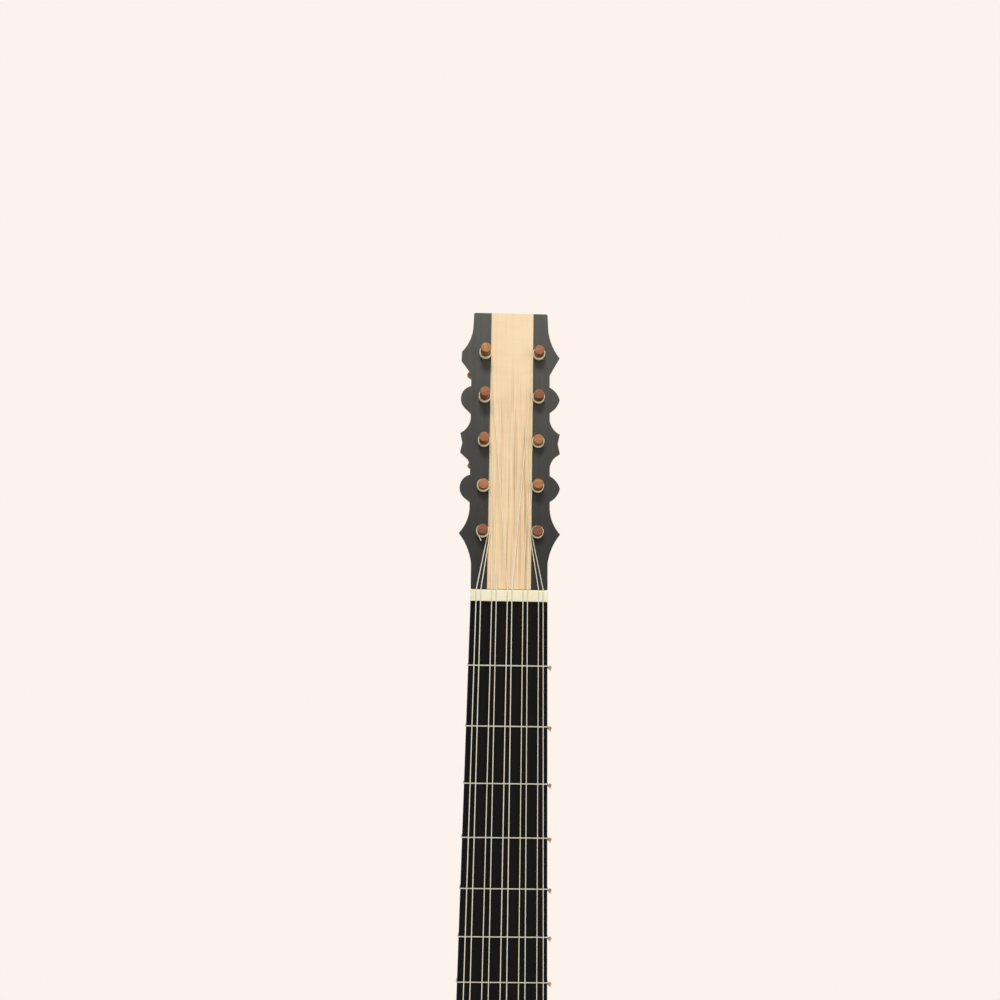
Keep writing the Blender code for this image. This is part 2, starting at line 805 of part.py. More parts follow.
def make_tied_fret(number, coat):
    """One gut fret: a cord from its thick knot over the board, round the neck and back."""
    share = (number - 1) / (TIED_FRETS - 1)
    diameter = between(FRET_DIAMETER_FIRST, FRET_DIAMETER_LAST, share)
    z = fret_z(number)
    stand_off = GAP + diameter / 2
    around = offset_line(neck_surface(z - diameter / 2), -stand_off)
    half = neck_half_width(z)
    knot_x = half + GAP + KNOT_DIAMETER / 2
    knot_y = KNOT_DIAMETER / 2
    corner = half + stand_off / 2
    line = [
        (knot_x, knot_y, z - 0.5 * diameter - KNOT_LENGTH),
        (knot_x, knot_y, z - 0.5 * diameter),
        (half + stand_off, 0.0, z),
        (corner, -stand_off, z),
        (-corner, -stand_off, z),
        (-half - stand_off, 0.0, z),
    ]
    line += [(x, y, z) for x, y in around[:-1]]
    end_y = knot_y + KNOT_DIAMETER / 2 + diameter / 2 + 2 * GAP
    line.append((around[-1][0], max(end_y, around[-1][1]), z))
    knot = KNOT_DIAMETER / diameter
    widths = [knot, knot] + [1.0] * (len(line) - 2)
    tube(f"tied_fret_{number}", line, diameter, coat, widths)
    return least_gap(line[1:], diameter)


def make_frets(coats):
    gaps = [make_tied_fret(number, coats["fret_gut"]) for number in range(1, TIED_FRETS + 1)]
    print(f"least gap of a tied fret to itself: {min(gaps) * 1000:.2f} mm")
    for number in BODY_FRETS:
        z = fret_z(number)
        half = neck_half_width(z) + BODY_FRET_OVERHANG
        box(f"body_fret_{number}", (-half, half), (-GAP - BODY_FRET_HEIGHT, -GAP),
            (z - BODY_FRET_WIDTH / 2, z + BODY_FRET_WIDTH / 2), coats["ebony"])


# Strings
def winding(row, side, target, radius):
    """The turns round a peg and the point where the string leaves them for its target.

    The turns start near the peg's tip and run to the head's face, and the string leaves on
    the peg's inner side, on the tangent that points at the target (across, up the face).
    """
    reach = PEG_TIP_DIAMETER / 2 + GAP + radius
    centre = Vector((peg_side_place(row, side), peg_height(row)))
    inward = Vector((-side * (target[0] - centre.x), target[1] - centre.y))
    leave = math.atan2(inward.y, inward.x) + math.acos(reach / inward.length)
    start = TAIL_DIRECTION + 2 * math.pi * WINDING_TURNS
    pitch = 2 * radius + WINDING_GAP
    lowest = radius + GAP
    steps = math.ceil((start - leave) / (2 * math.pi) * WINDING_POINTS)
    points = []
    for step in range(steps + 1):
        angle = between(start, leave, step / steps)
        lift = lowest + pitch * (angle - leave) / (2 * math.pi)
        across = centre.x - side * reach * math.cos(angle)
        points.append(Vector((across, -lift, centre.y + reach * math.sin(angle))))
    first = points[0]
    tangent = Vector((-side * math.sin(start), 0.0, -math.cos(start)))
    tail = CUT_TAIL if (row, side) == (0, -1) else LOOSE_END
    return [first - tangent * tail] + points


def passing_place(row, side, leave, target, radius):
    """Where a string passes the next peg below its own, clear of the turns on that peg."""
    height = peg_height(row - 1)
    share = (leave[1] - height) / (leave[1] - target[1])
    straight = between(leave[0], target[0], share)
    room = WINDING_RADIUS_OUT + STRING_CLEARANCE + radius
    limit = peg_side_place(row - 1, side) - side * room
    across = min(straight * side, limit * side) * side
    return across, height


def string_route(number):
    """World points of a string from its loose end on the peg to its tie at the bridge."""
    radius = STRING_DIAMETERS[number // 2] / 2
    row, side = string_peg(number)
    nut_back = Vector((nut_place(number), -STRING_HEIGHT_NUT, NUT_LENGTH))
    nut_in_head = world_to_head(nut_back)
    target = (nut_in_head.x, nut_in_head.z)
    inner = (peg_side_place(row, side) - side * PEG_TIP_DIAMETER / 2, peg_height(row))
    by_the_way = []
    if row > 0:
        across, height = passing_place(row, side, inner, target, radius)
        share = (inner[1] - height) / (inner[1] - target[1])
        lift = between(radius + GAP, -nut_in_head.y, share)
        by_the_way = [Vector((across, -lift, height))]
        target = (across, height)
    head_points = winding(row, side, target, radius) + by_the_way
    points = [head_to_world(*point) for point in head_points]
    points.append(nut_back)
    points.append(Vector((nut_place(number), -STRING_HEIGHT_NUT, 0.0)))
    return points + tie_points(number, radius)


def tie_points(number, radius):
    """From the bridge's front face, through its hole, back over its top and down again."""
    x = bridge_place(number)
    front = -SCALE_LENGTH
    rear = front - BRIDGE_LENGTH - GAP - radius
    top = -GAP - BRIDGE_HEIGHT - GAP - radius
    beside = x + TIE_OFFSET
    nose = front + GAP + radius
    return [
        Vector((x, -STRING_HEIGHT_BRIDGE, front)),
        Vector((x, -STRING_HEIGHT_BRIDGE, rear - radius)),
        Vector((x + TIE_OFFSET / 3, top + radius, rear - radius)),
        Vector((x + TIE_OFFSET / 2, top, rear + radius)),
        Vector((beside, top, nose - radius)),
        Vector((beside, top + radius, nose)),
        Vector((beside, -STRING_HEIGHT_BRIDGE - TIE_REACH, nose)),
    ]


def make_strings(coats):
    gaps = []
    for number in range(2 * COURSES):
        diameter = STRING_DIAMETERS[number // 2]
        route = string_route(number)
        tube(f"string_{number + 1:02d}", route, diameter, coats["gut"])
        gaps.append(least_gap(route, diameter))
    print(f"least gap of a string's turns to themselves: {min(gaps) * 1000:.2f} mm")


# Body
def make_soundboard(coats, hole_z):
    neck_half = NECK_WIDTH_BODY / 2
    inside_binding = from_x_to_x(inner_edge(BINDING_WIDTH + GAP), neck_half, 0.0)
    half = [(0.0, BODY_TOP), (neck_half, BODY_TOP)] + inside_binding
    board = plate("soundboard", whole_outline(half), 0.0, SOUNDBOARD_THICKNESS, coats["spruce"])
    cut(board, make_hole_cutter(hole_z))


def make_binding(coats):
    """A dark strip round the soundboard's edge, from one side of the neck to the other."""
    start = NECK_WIDTH_BODY / 2 + GAP
    outer = from_x_to_x(body_edge(), start, 0.0)
    inner = from_x_to_x(inner_edge(BINDING_WIDTH), start, 0.0)
    outline = outer + mirrored(outer[-2::-1]) + mirrored(inner) + inner[-2::-1]
    plate("binding", outline, 0.0, SOUNDBOARD_THICKNESS, coats["ebony"])


def make_hole_cutter(hole_z):
    groove_floor = RING_THICKNESS + GAP
    inner = RING_INNER_DIAMETER / 2 - GAP
    outer = RING_INNER_DIAMETER / 2 + RING_WIDTH + GAP
    radius = SOUNDHOLE_DIAMETER / 2
    stations = ((-CUT_BEYOND, radius), (SOUNDBOARD_THICKNESS + CUT_BEYOND, radius))
    cutter = loft("soundhole_cutter", [rod_along_y((0.0, hole_z), stations, SOUNDHOLE_SIDES)], None)
    bm = bmesh.new()
    bm.from_mesh(cutter.data)
    add_washer(bm, (0.0, hole_z), inner, outer, -CUT_BEYOND, groove_floor, SOUNDHOLE_SIDES)
    bm.to_mesh(cutter.data)
    bm.free()
    return as_cutter(cutter)


def add_washer(bm, centre, inner, outer, near, far, sides):
    rings = []
    for y, radius in ((near, inner), (near, outer), (far, outer), (far, inner)):
        ring = circle(radius, radius, sides)
        rings.append([bm.verts.new((centre[0] + x, y, centre[1] + z)) for x, z in ring])
    for index in range(4):
        this_ring = rings[index]
        next_ring = rings[(index + 1) % 4]
        for side in range(sides):
            other = (side + 1) % sides
            bm.faces.new((this_ring[side], this_ring[other], next_ring[other], next_ring[side]))
    bmesh.ops.recalc_face_normals(bm, faces=bm.faces)


def make_rose_ring(coats, hole_z):
    bm = bmesh.new()
    inner = RING_INNER_DIAMETER / 2
    add_washer(bm, (0.0, hole_z), inner, inner + RING_WIDTH, 0.0, RING_THICKNESS, SOUNDHOLE_SIDES)
    mesh = bpy.data.meshes.new("rose_ring")
    bm.to_mesh(mesh)
    bm.free()
    add_object("rose_ring", mesh, coats["ebony"])


def rose_profile():
    """The sunken rose's section as (radius, y): its front from the rim in, then its back out."""
    start = RIB_FRONT
    rim = SOUNDHOLE_DIAMETER / 2 + ROSE_FLANGE
    wall = SOUNDHOLE_DIAMETER / 2 - 2 * ROSE_SHEET
    front = [(rim, start), (wall, start)]
    back = [(rim, start + ROSE_SHEET), (wall + ROSE_SHEET, start + ROSE_SHEET)]
    for tier in range(1, ROSE_TIERS + 1):
        depth = start + tier * ROSE_TIER_DROP
        inner = wall - ROSE_TIER_WIDTH
        front += [(wall, depth), (inner, depth)]
        back += [(wall + ROSE_SHEET, depth + ROSE_SHEET), (inner + ROSE_SHEET, depth + ROSE_SHEET)]
        wall = inner
    front.pop()
    back.pop()
    return front, back


def make_rose(coats, hole_z):
    front, back = rose_profile()
    rings = []
    for radius, y in back[::-1] + front:
        rings.append([(x, y, hole_z + z) for x, z in circle(radius, radius, ROSE_SEGMENTS)])
    rose = loft("rose", [rings[len(back):][::-1] + rings[:len(back)][::-1]], coats["parchment"])
    cutter = make_petal_cutter(hole_z, front)
    cut(rose, cutter)


def petal(middle, angle, hole_z, depth, radius):
    """One round cutter through a tier of the rose."""
    centre = (middle * math.cos(angle), hole_z + middle * math.sin(angle))
    stations = ((depth - CUT_BEYOND, radius), (depth + CUT_BEYOND, radius))
    return rod_along_y(centre, stations, PETAL_SIDES)


def make_petal_cutter(hole_z, front):
    shells = []
    wall = front[1][0]
    for tier in range(1, ROSE_TIERS):
        depth = front[2 * tier][1]
        middle = wall - (tier - 0.5) * ROSE_TIER_WIDTH
        petals = ROSE_PETALS // tier
        for number in range(petals):
            angle = 2 * math.pi * (number + 0.5) / petals
            shells.append(petal(middle, angle, hole_z, depth, ROSE_PETAL_DIAMETER / 2))
    depth = front[-1][1]
    for number in range(ROSE_CENTRE_PETALS):
        angle = 2 * math.pi * number / ROSE_CENTRE_PETALS
        radius = ROSE_CENTRE_PETAL_DIAMETER / 2
        shells.append(petal(ROSE_PETAL_DIAMETER, angle, hole_z, depth, radius))
    return as_cutter(loft("petal_cutter", shells, None))


def make_ribs(coats, button_cutter):
    start = NECK_BLOCK_WIDTH / 2 + GAP
    outer = from_x_to_x(body_edge(), start, GAP / 2)
    inner = from_x_to_x(inner_edge(RIB_THICKNESS), start, GAP / 2)
    for side, name in ((-1, "rib_bass"), (1, "rib_treble")):
        rib = plate(name, strip_ring(outer, inner, side), RIB_FRONT, RIB_DEPTH, coats["ebonised"])
        cut(rib, button_cutter)


def make_linings(coats):
    start = NECK_BLOCK_WIDTH / 2 + GAP
    end = TAIL_BLOCK_WIDTH / 2 + GAP
    outer = from_x_to_x(inner_edge(RIB_THICKNESS + GAP), start, end)
    inner = from_x_to_x(inner_edge(RIB_THICKNESS + GAP + LINING_WIDTH), start, end)
    levels = (
        ("front", RIB_FRONT, RIB_FRONT + LINING_HEIGHT),
        ("back", RIB_DEPTH - LINING_HEIGHT, RIB_DEPTH),
    )
    for level, near, far in levels:
        for side, side_name in ((-1, "bass"), (1, "treble")):
            outline = strip_ring(outer, inner, side)
            plate(f"lining_{level}_{side_name}", outline, near, far, coats["spruce"])


def make_blocks(coats, nail_cutter, button_cutter):
    half = NECK_BLOCK_WIDTH / 2
    neck_block = box("neck_block", (-half, half), (RIB_FRONT, RIB_DEPTH),
                     (BODY_TOP - NECK_BLOCK_LENGTH, BODY_TOP), coats["spruce"])
    cut(neck_block, nail_cutter)
    tail_half = TAIL_BLOCK_WIDTH / 2
    against_ribs = tail_stretch(inner_edge(RIB_THICKNESS + GAP), tail_half)
    half_block = [(tail_half, BODY_TAIL + RIB_THICKNESS + TAIL_BLOCK_LENGTH)] + against_ribs
    outline = half_block + mirrored(half_block[-2::-1])
    tail_block = plate("tail_block", outline, RIB_FRONT, RIB_DEPTH, coats["spruce"])
    cut(tail_block, button_cutter)


def make_bars(coats, hole_z):
    inset = RIB_THICKNESS + LINING_WIDTH + 3 * GAP
    reach = SOUNDHOLE_DIAMETER / 2 + ROSE_FLANGE + BAR_MARGIN
    bars = [
        ("bar_upper", hole_z + reach, RIB_FRONT, RIB_FRONT + BAR_HEIGHT),
        ("bar_lower", hole_z - reach, RIB_FRONT, RIB_FRONT + BAR_HEIGHT),
        ("back_bar_upper", BODY_TOP - BACK_BARS_AT[0], RIB_DEPTH - BACK_BAR_HEIGHT, RIB_DEPTH),
        ("back_bar_lower", BODY_TOP - BACK_BARS_AT[1], RIB_DEPTH - BACK_BAR_HEIGHT, RIB_DEPTH),
    ]
    for name, z, near, far in bars:
        ends = [half_width_at(z + edge * BAR_WIDTH / 2, inset) for edge in (-1, 1)]
        half = min(ends)
        box(name, (-half, half), (near, far), (z - BAR_WIDTH / 2, z + BAR_WIDTH / 2), coats["spruce"])


def make_back(coats):
    plate("back", whole_outline(body_edge()), BACK_FRONT, BACK_FRONT + BACK_THICKNESS, coats["ebonised"])


def nail_stations(extra):
    """Stations of the nail along Z, from its head inside the block up to its point."""
    head_z = BODY_TOP - NECK_BLOCK_LENGTH - GAP
    shank = NAIL_DIAMETER / 2 + extra
    head = NAIL_HEAD_DIAMETER / 2
    point_z = BODY_TOP + NAIL_REACH + extra
    stations = [(head_z - NAIL_HEAD_THICKNESS, head), (head_z, head)]
    if extra > 0:
        stations = [(head_z - NAIL_HEAD_THICKNESS, shank)]
    point = [(point_z - NAIL_POINT_LENGTH, shank), (point_z, shank / 3)]
    return stations + [(head_z + GAP / 2, shank)] + point


def make_nail(coats):
    rings = rod_along_z((0.0, NAIL_DEPTH), nail_stations(0.0), NAIL_SIDES)
    loft("neck_nail", [rings], coats["iron"])


def make_button(coats):
    shank = BUTTON_SHANK_DIAMETER / 2
    knob = BUTTON_DIAMETER / 2
    inside = BODY_TAIL + RIB_THICKNESS + GAP + TAIL_BLOCK_LENGTH
    seat = BODY_TAIL - GAP
    stations = [
        (inside, shank - GAP),
        (seat, shank),
        (seat - GAP, BUTTON_SEAT * knob),
    ]
    for along, wide in BUTTON_PROFILE:
        stations.append((seat - along * BUTTON_LENGTH, wide * knob))
    button = rod_along_z((0.0, RIB_DEPTH / 2), stations, BUTTON_SIDES)
    loft("end_button", [button], coats["ebony"], smooth=40)


def make_nail_cutter():
    hole = rod_along_z((0.0, NAIL_DEPTH), nail_stations(GAP), NAIL_SIDES)
    return as_cutter(loft("nail_cutter", [hole], None))


def make_button_cutter():
    radius = BUTTON_SHANK_DIAMETER / 2 + GAP
    inner_end = BODY_TAIL + RIB_THICKNESS + TAIL_BLOCK_LENGTH + CUT_BEYOND
    stations = [(BODY_TAIL - CUT_BEYOND, radius), (inner_end, radius)]
    hole = rod_along_z((0.0, RIB_DEPTH / 2), stations, BUTTON_HOLE_SIDES)
    return as_cutter(loft("button_cutter", [hole], None))


# Bridge
def make_bridge(coats):
    half = BRIDGE_WIDTH / 2
    top_half = BRIDGE_TOP_WIDTH / 2
    profile = [
        (-half, -GAP),
        (half, -GAP),
        (half, -GAP - BRIDGE_END_HEIGHT),
        (top_half, -GAP - BRIDGE_HEIGHT),
        (-top_half, -GAP - BRIDGE_HEIGHT),
        (-half, -GAP - BRIDGE_END_HEIGHT),
    ]
    front = -SCALE_LENGTH
    rings = [[(x, y, z) for x, y in profile] for z in (front - BRIDGE_LENGTH, front)]
    bridge = loft("bridge", [rings], coats["ebony"])
    radius = BRIDGE_HOLE_DIAMETER / 2
    shells = []
    for number in range(2 * COURSES):
        centre = (bridge_place(number), -STRING_HEIGHT_BRIDGE)
        stations = [(front - BRIDGE_LENGTH - CUT_BEYOND, radius), (front + CUT_BEYOND, radius)]
        shells.append(rod_along_z(centre, stations, BRIDGE_HOLE_SIDES))
    cut(bridge, as_cutter(loft("string_hole_cutter", shells, None)))


def scroll_outline(side):
    """A scroll that leaves the bridge's end sideways and curls up into itself."""
    start_x = BRIDGE_WIDTH / 2 + GAP
    centre_z = -SCALE_LENGTH - BRIDGE_LENGTH / 2 + SCROLL_RADIUS
    outer = []
    inner = []
    for step in range(SCROLL_STEPS + 1):
        share = step / SCROLL_STEPS
        angle = -math.pi / 2 + SCROLL_TURN * share
        radius = SCROLL_RADIUS * (1 - SCROLL_SHRINK * share)
        half = between(SCROLL_WIDTH, SCROLL_TIP_WIDTH, share) / 2
        across = math.cos(angle)
        up = math.sin(angle)
        outer.append((start_x + (radius + half) * across, centre_z + (radius + half) * up))
        inner.append((start_x + (radius - half) * across, centre_z + (radius - half) * up))
    outline = outer + inner[::-1]
    outline = [(max(x, start_x), z) if z < centre_z - SCROLL_RADIUS / 2 else (x, z) for x, z in outline]
    return outline if side > 0 else mirrored(outline)


def make_moustaches(coats):
    for side, name in ((-1, "moustache_bass"), (1, "moustache_treble")):
        plate(name, scroll_outline(side), -GAP - SCROLL_THICKNESS, -GAP, coats["ebony"])


def main():
    remove_everything()
    coats = make_materials()
    head_frame = bpy.data.objects.new("head_frame", None)
    bpy.context.collection.objects.link(head_frame)
    head_frame.location = (0.0, HEAD_FACE_Y, HEAD_FOOT_Z)
    head_frame.rotation_euler = (-HEAD_TILT, 0.0, 0.0)
    hole_z = BODY_TOP - SOUNDHOLE_AT
    nail_cutter = make_nail_cutter()
    button_cutter = make_button_cutter()
    make_head(coats, head_frame)
    make_pegs(coats, head_frame)
    make_neck(coats, nail_cutter)
    make_fingerboard(coats)
    make_nut(coats)
    make_frets(coats)
    make_strings(coats)
    make_soundboard(coats, hole_z)
    make_binding(coats)
    make_rose_ring(coats, hole_z)
    make_rose(coats, hole_z)
    make_ribs(coats, button_cutter)
    make_linings(coats)
    make_blocks(coats, nail_cutter, button_cutter)
    make_bars(coats, hole_z)
    make_back(coats)
    make_nail(coats)
    make_button(coats)
    make_bridge(coats)
    make_moustaches(coats)


main()
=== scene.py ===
"""Looks of the baroque guitar: smooth pieces, materials, floor, light and camera.

Everything is in metres in the guitar's own frame: +Z runs up the neck, the front faces -Y and
the treble side is +X. The first block holds the sizes that the solids are made from, and the
second the sizes of what only the looks have.
"""

import math

import bmesh
import bpy
from mathutils import Matrix, Vector
from mathutils.geometry import interpolate_bezier, tessellate_polygon


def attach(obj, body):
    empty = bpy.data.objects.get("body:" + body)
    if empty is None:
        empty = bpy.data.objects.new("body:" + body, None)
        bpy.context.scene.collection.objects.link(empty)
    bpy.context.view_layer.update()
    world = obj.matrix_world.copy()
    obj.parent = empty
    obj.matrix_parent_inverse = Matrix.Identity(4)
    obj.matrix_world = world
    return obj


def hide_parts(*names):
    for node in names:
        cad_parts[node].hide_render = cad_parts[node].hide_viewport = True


# Sizes shared with the solids
GAP = 0.0003
PEG_CLEARANCE = 0.00025
STRING_CLEARANCE = 0.0004
SCALE_LENGTH = 0.690
TIED_FRETS = 9
BODY_FRET = 10
FRET_DIAMETER_FIRST = 0.00080
FRET_DIAMETER_LAST = 0.00066
COURSES = 5
COURSE_PITCH_NUT = 0.00941
COURSE_PITCH_BRIDGE = 0.01407
PAIR_SPACING_NUT = 0.00274
PAIR_SPACING_BRIDGE = 0.00617
STRING_SHIFT_NUT = 0.00024
STRING_SHIFT_BRIDGE = 0.00155
STRING_HEIGHT_NUT = 0.0018
STRING_HEIGHT_BRIDGE = 0.0063
STRING_DIAMETERS = (0.00060, 0.00056, 0.00060, 0.00054, 0.00048)
WINDING_GAP = 0.00056
WINDING_TURNS = 3
LOOSE_END = 0.0012
CUT_TAIL = 0.0056
TAIL_DIRECTION = math.radians(205)
NUT_WIDTH = 0.0464
NUT_LENGTH = 0.0069
NUT_HEIGHT = 0.0020
FINGERBOARD_THICKNESS = 0.0040
NECK_WIDTH_BODY = 0.0569
NECK_DEPTH_NUT = 0.0172
NECK_DEPTH_BODY = 0.0210
NECK_THROAT = 0.025
HEEL_LENGTH = 0.062
HEEL_DEPTH = 0.084
HEEL_CURVE = 2.6
NECK_ROUNDNESS = 2.4
HEEL_ROUNDNESS = 1.5
HEAD_TILT = math.radians(16)
HEAD_FACE_Y = 0.0010
HEAD_FOOT_Z = 0.0065
HEAD_THICKNESS = 0.0140
HEAD_CROWN = 0.0277
HEAD_WAIST_WIDTH = 0.0491
HEAD_HORN_WIDTH = 0.0616
HEAD_NOTCH_WIDTH = 0.0590
HEAD_SHOULDER_WIDTH = 0.0473
HEAD_TOP_WIDTH = 0.0465
HEAD_BACK_INSET = 0.0040
FOOT_COVE = 0.0188
HORN_COVE = 0.0155
HORN_SPREAD = 0.0062
LOBE_DROP = 0.0006
LOBE_SPAN = 0.0081
LOBE_BULGE = 0.0011
CROWN_HORN_DROP = 0.0010
CROWN_HORN_RISE = 0.0115
CROWN_HORN_BLUNT = 0.0027
SHOULDER_SPAN = 0.0179
TOP_CORNER = 0.0011
COVE_SAG = 0.0014
FACING_THICKNESS = 0.0016
STRIP_WIDTH = 0.0264
STRIP_SHIFT_FOOT = -0.00013
STRIP_DRIFT = 0.0012
PEG_ROWS = 5
LOWEST_PEG = 0.0361
PEG_SPACING = 0.0289
PEG_OFFSET = 0.01670
PEG_TIP_DIAMETER = 0.0064
PEG_ROOT_DIAMETER = 0.0070
BASS_TIP_LENGTHS = (0.0082, 0.0072, 0.0104, 0.0124, 0.0122)
TREBLE_TIP_LENGTHS = (0.0062, 0.0090, 0.0076, 0.0092, 0.0096)
PEG_STANDOFF = 0.0030
PEG_COLLAR_DIAMETER = 0.0094
PEG_COLLAR_LENGTH = 0.0026
THUMB_LENGTH = 0.0270
THUMB_WIDTH = 0.0220
BASS_THUMB_TURNS = (100, 80, -33, 70, -10)
TREBLE_THUMB_TURNS = (65, 90, 75, 110, 60)
BODY_LENGTH = 0.462
UPPER_BOUT = 0.226
UPPER_BOUT_AT = 0.072
WAIST = 0.194
WAIST_AT = 0.190
LOWER_BOUT = 0.276
LOWER_BOUT_AT = 0.345
SHOULDER_FULLNESS = 0.60
WAIST_FULLNESS = 0.45
TAIL_FULLNESS = 0.60
RIB_DEPTH = 0.088
RIB_THICKNESS = 0.0020
SOUNDBOARD_THICKNESS = 0.0022
BACK_THICKNESS = 0.0025
BINDING_WIDTH = 0.0026
NECK_BLOCK_WIDTH = 0.052
BUTTON_SHANK_DIAMETER = 0.0060
BUTTON_DIAMETER = 0.0130
BUTTON_LENGTH = 0.0120
TAIL_BLOCK_LENGTH = 0.014
SOUNDHOLE_AT = 0.150
SOUNDHOLE_DIAMETER = 0.080
RING_INNER_DIAMETER = 0.088
RING_WIDTH = 0.0080
ROSE_FLANGE = 0.0060
ROSE_SHEET = 0.0008
ROSE_TIERS = 3
ROSE_TIER_WIDTH = 0.0110
ROSE_TIER_DROP = 0.0060
BRIDGE_WIDTH = 0.118
BRIDGE_TOP_WIDTH = 0.092
BRIDGE_LENGTH = 0.0140
BRIDGE_HEIGHT = 0.0085
BRIDGE_END_HEIGHT = 0.0030
SCROLL_RADIUS = 0.0150
SCROLL_TURN = math.radians(285)
SCROLL_SHRINK = 0.62
SCROLL_WIDTH = 0.0068
SCROLL_TIP_WIDTH = 0.0020
SCROLL_THICKNESS = 0.0014

# Sizes of the looks alone
KNOT_RING = 0.00072
KNOT_SWING = 0.00033
KNOT_DROP = 0.0010
KNOT_HALF_DEPTH = 0.00032
KNOT_GUT = 0.00030
KNOT_TURN = math.radians(-75)
KNOT_PLACE_Y = 0.0009
YELLOW_STRING = 6  # counted from 0 at the bass side
SIDES = ((-1, "bass"), (1, "treble"))
CORE_ROUNDING = 0.0003
FACING_ROUNDING = 0.00022
STRIP_ROUNDING = 0.00012
BINDING_ROUNDING = 0.0004
BACK_ROUNDING = 0.0006
SCROLL_ROUNDING = 0.0005
TOUCH_GAP = 0.00005
SKIN_GAP = 0.00004
SEAM = 0.00006
HOLE_TO_SEAM = 0.00012
FOOT_ZONE = 0.0005
DOME = 0.0005
NUT_ROUNDING = 0.0006
NUT_END_INSET = 0.0002
BRIDGE_ROUNDING = 0.0011
BRIDGE_END_INSET = 0.0004
STONE_FRONT = -0.00006
STONE_REAR = 0.0002
INLAY_LIFT = 0.00003
INLAY_DEPTH = 0.0003
LOZENGES = 36
LOZENGE_HALF_LENGTH = 0.0033
LOZENGE_HALF_WIDTH = 0.0021
DOT_RADIUS = 0.00045
DOT_OFFSET = 0.0017
ROSE_BOSS = 0.0042
ROSE_EYE = 0.0004
ROSE_THICKNESS = 0.0006
RIM_RADIUS = 0.00035
WELD = 0.00002

# How finely the smooth pieces are made
QUARTER_TURN = math.pi / 2
FULL_TURN = 2 * math.pi
KNOT_STEPS = 60
NECK_STEPS = 90
RING_SIDES = 120
RIM_SIDES = 96
HOLE_SIDES = 96
KNOB_SIDES = 48
SCROLL_STEPS = 70
SHARP_PLATE = 35
MITRE_LIMIT = 0.5
ARC_STEP = math.radians(5)
TURN_POINTS = 40
CORD_SIDES = 12
PEG_SIDES = 40
NECK_PROFILE_STEPS = 40
ROUNDING_STEPS = 3
SAME_PLACE = 1e-6
OUTLINE_STEPS = (40, 30, 36, 50)

# Lights: name, place, height that it aims at, size, power and colour
LIGHTS = (
    ("key", (-0.2, -1.5, 2.25), -0.2, 0.8, 36.5, (1.0, 0.975, 0.94)),
    ("fill", (1.3, -1.9, 0.5), -0.2, 1.6, 11, (1.0, 0.99, 0.98)),
    ("back_left", (-1.6, 1.8, 1.3), -0.3, 1.6, 20, (1.0, 0.99, 0.97)),
    ("back_right", (1.4, 2.0, 0.8), -0.3, 1.6, 16, (1.0, 0.99, 0.97)),
)

# Camera
CAMERA_PLACE = (-0.04113, -1.0, 0.060894)
CAMERA_YAW = math.radians(1.981)
CAMERA_ROLL = math.radians(1.035)
CAMERA_LENS = 59.834
BACKDROP = (0.973, 0.896, 0.839)


def between(start, end, share):
    return start + (end - start) * share


def spread(start, end, steps):
    """Values in equal steps from start to end, both of them included."""
    return [between(start, end, step / steps) for step in range(steps + 1)]


def round_angles(count):
    return spread(0.0, FULL_TURN, count)[:-1]


def polar(centre, radius, angle):
    return centre[0] + radius * math.cos(angle), centre[1] + radius * math.sin(angle)


# Places worked out from the sizes
def fret_z(number):
    return -SCALE_LENGTH * (1 - 2 ** (-number / 12))


BODY_TOP = fret_z(BODY_FRET)
BODY_TAIL = BODY_TOP - BODY_LENGTH
HEAD_BASE = NUT_LENGTH + GAP
HEAD_LENGTH = LOWEST_PEG + (PEG_ROWS - 1) * PEG_SPACING + HEAD_CROWN
NECK_FRONT = FINGERBOARD_THICKNESS + GAP
RIB_FRONT = SOUNDBOARD_THICKNESS + GAP
BACK_FRONT = RIB_DEPTH + GAP
BACK_REAR = BACK_FRONT + BACK_THICKNESS
ROSE_CENTRE = (0.0, BODY_TOP - SOUNDHOLE_AT)
BRIDGE_TOP = -GAP - BRIDGE_HEIGHT
BRIDGE_REAR = -SCALE_LENGTH - BRIDGE_LENGTH
WINDING_RADIUS_OUT = PEG_TIP_DIAMETER / 2 + GAP + max(STRING_DIAMETERS)
HEAD_FRAME = Matrix.Translation((0.0, HEAD_FACE_Y, HEAD_FOOT_Z)) @ Matrix.Rotation(-HEAD_TILT, 4, "X")


def peg_height(row):
    return LOWEST_PEG + row * PEG_SPACING


def strip_centre(height):
    return STRIP_SHIFT_FOOT + STRIP_DRIFT * height / HEAD_LENGTH


def peg_side_place(row, side):
    return strip_centre(peg_height(row)) + side * PEG_OFFSET


def head_foot(depth):
    """Height up the face of the level plane that ends the head, at one depth behind the face."""
    return (HEAD_BASE - HEAD_FOOT_Z + depth * math.sin(HEAD_TILT)) / math.cos(HEAD_TILT)


def head_back_y(z):
    height = (z - HEAD_FOOT_Z + HEAD_THICKNESS * math.sin(HEAD_TILT)) / math.cos(HEAD_TILT)
    return (HEAD_FRAME @ Vector((0.0, HEAD_THICKNESS, height))).y


def neck_half_width(z):
    return between(NUT_WIDTH, NECK_WIDTH_BODY, min(z, 0.0) / BODY_TOP) / 2


def heel_share(z):
    start = BODY_TOP + HEEL_LENGTH
    return max(0.0, (start - z) / HEEL_LENGTH)


def neck_depth(z):
    shaft = between(NECK_DEPTH_NUT, NECK_DEPTH_BODY, min(z, 0.0) / BODY_TOP)
    throat = min(max((z + NECK_THROAT) / (NUT_LENGTH + NECK_THROAT), 0.0), 1.0)
    shaft = between(shaft, head_back_y(NUT_LENGTH), throat ** 2)
    return between(shaft, HEEL_DEPTH, heel_share(z) ** HEEL_CURVE)


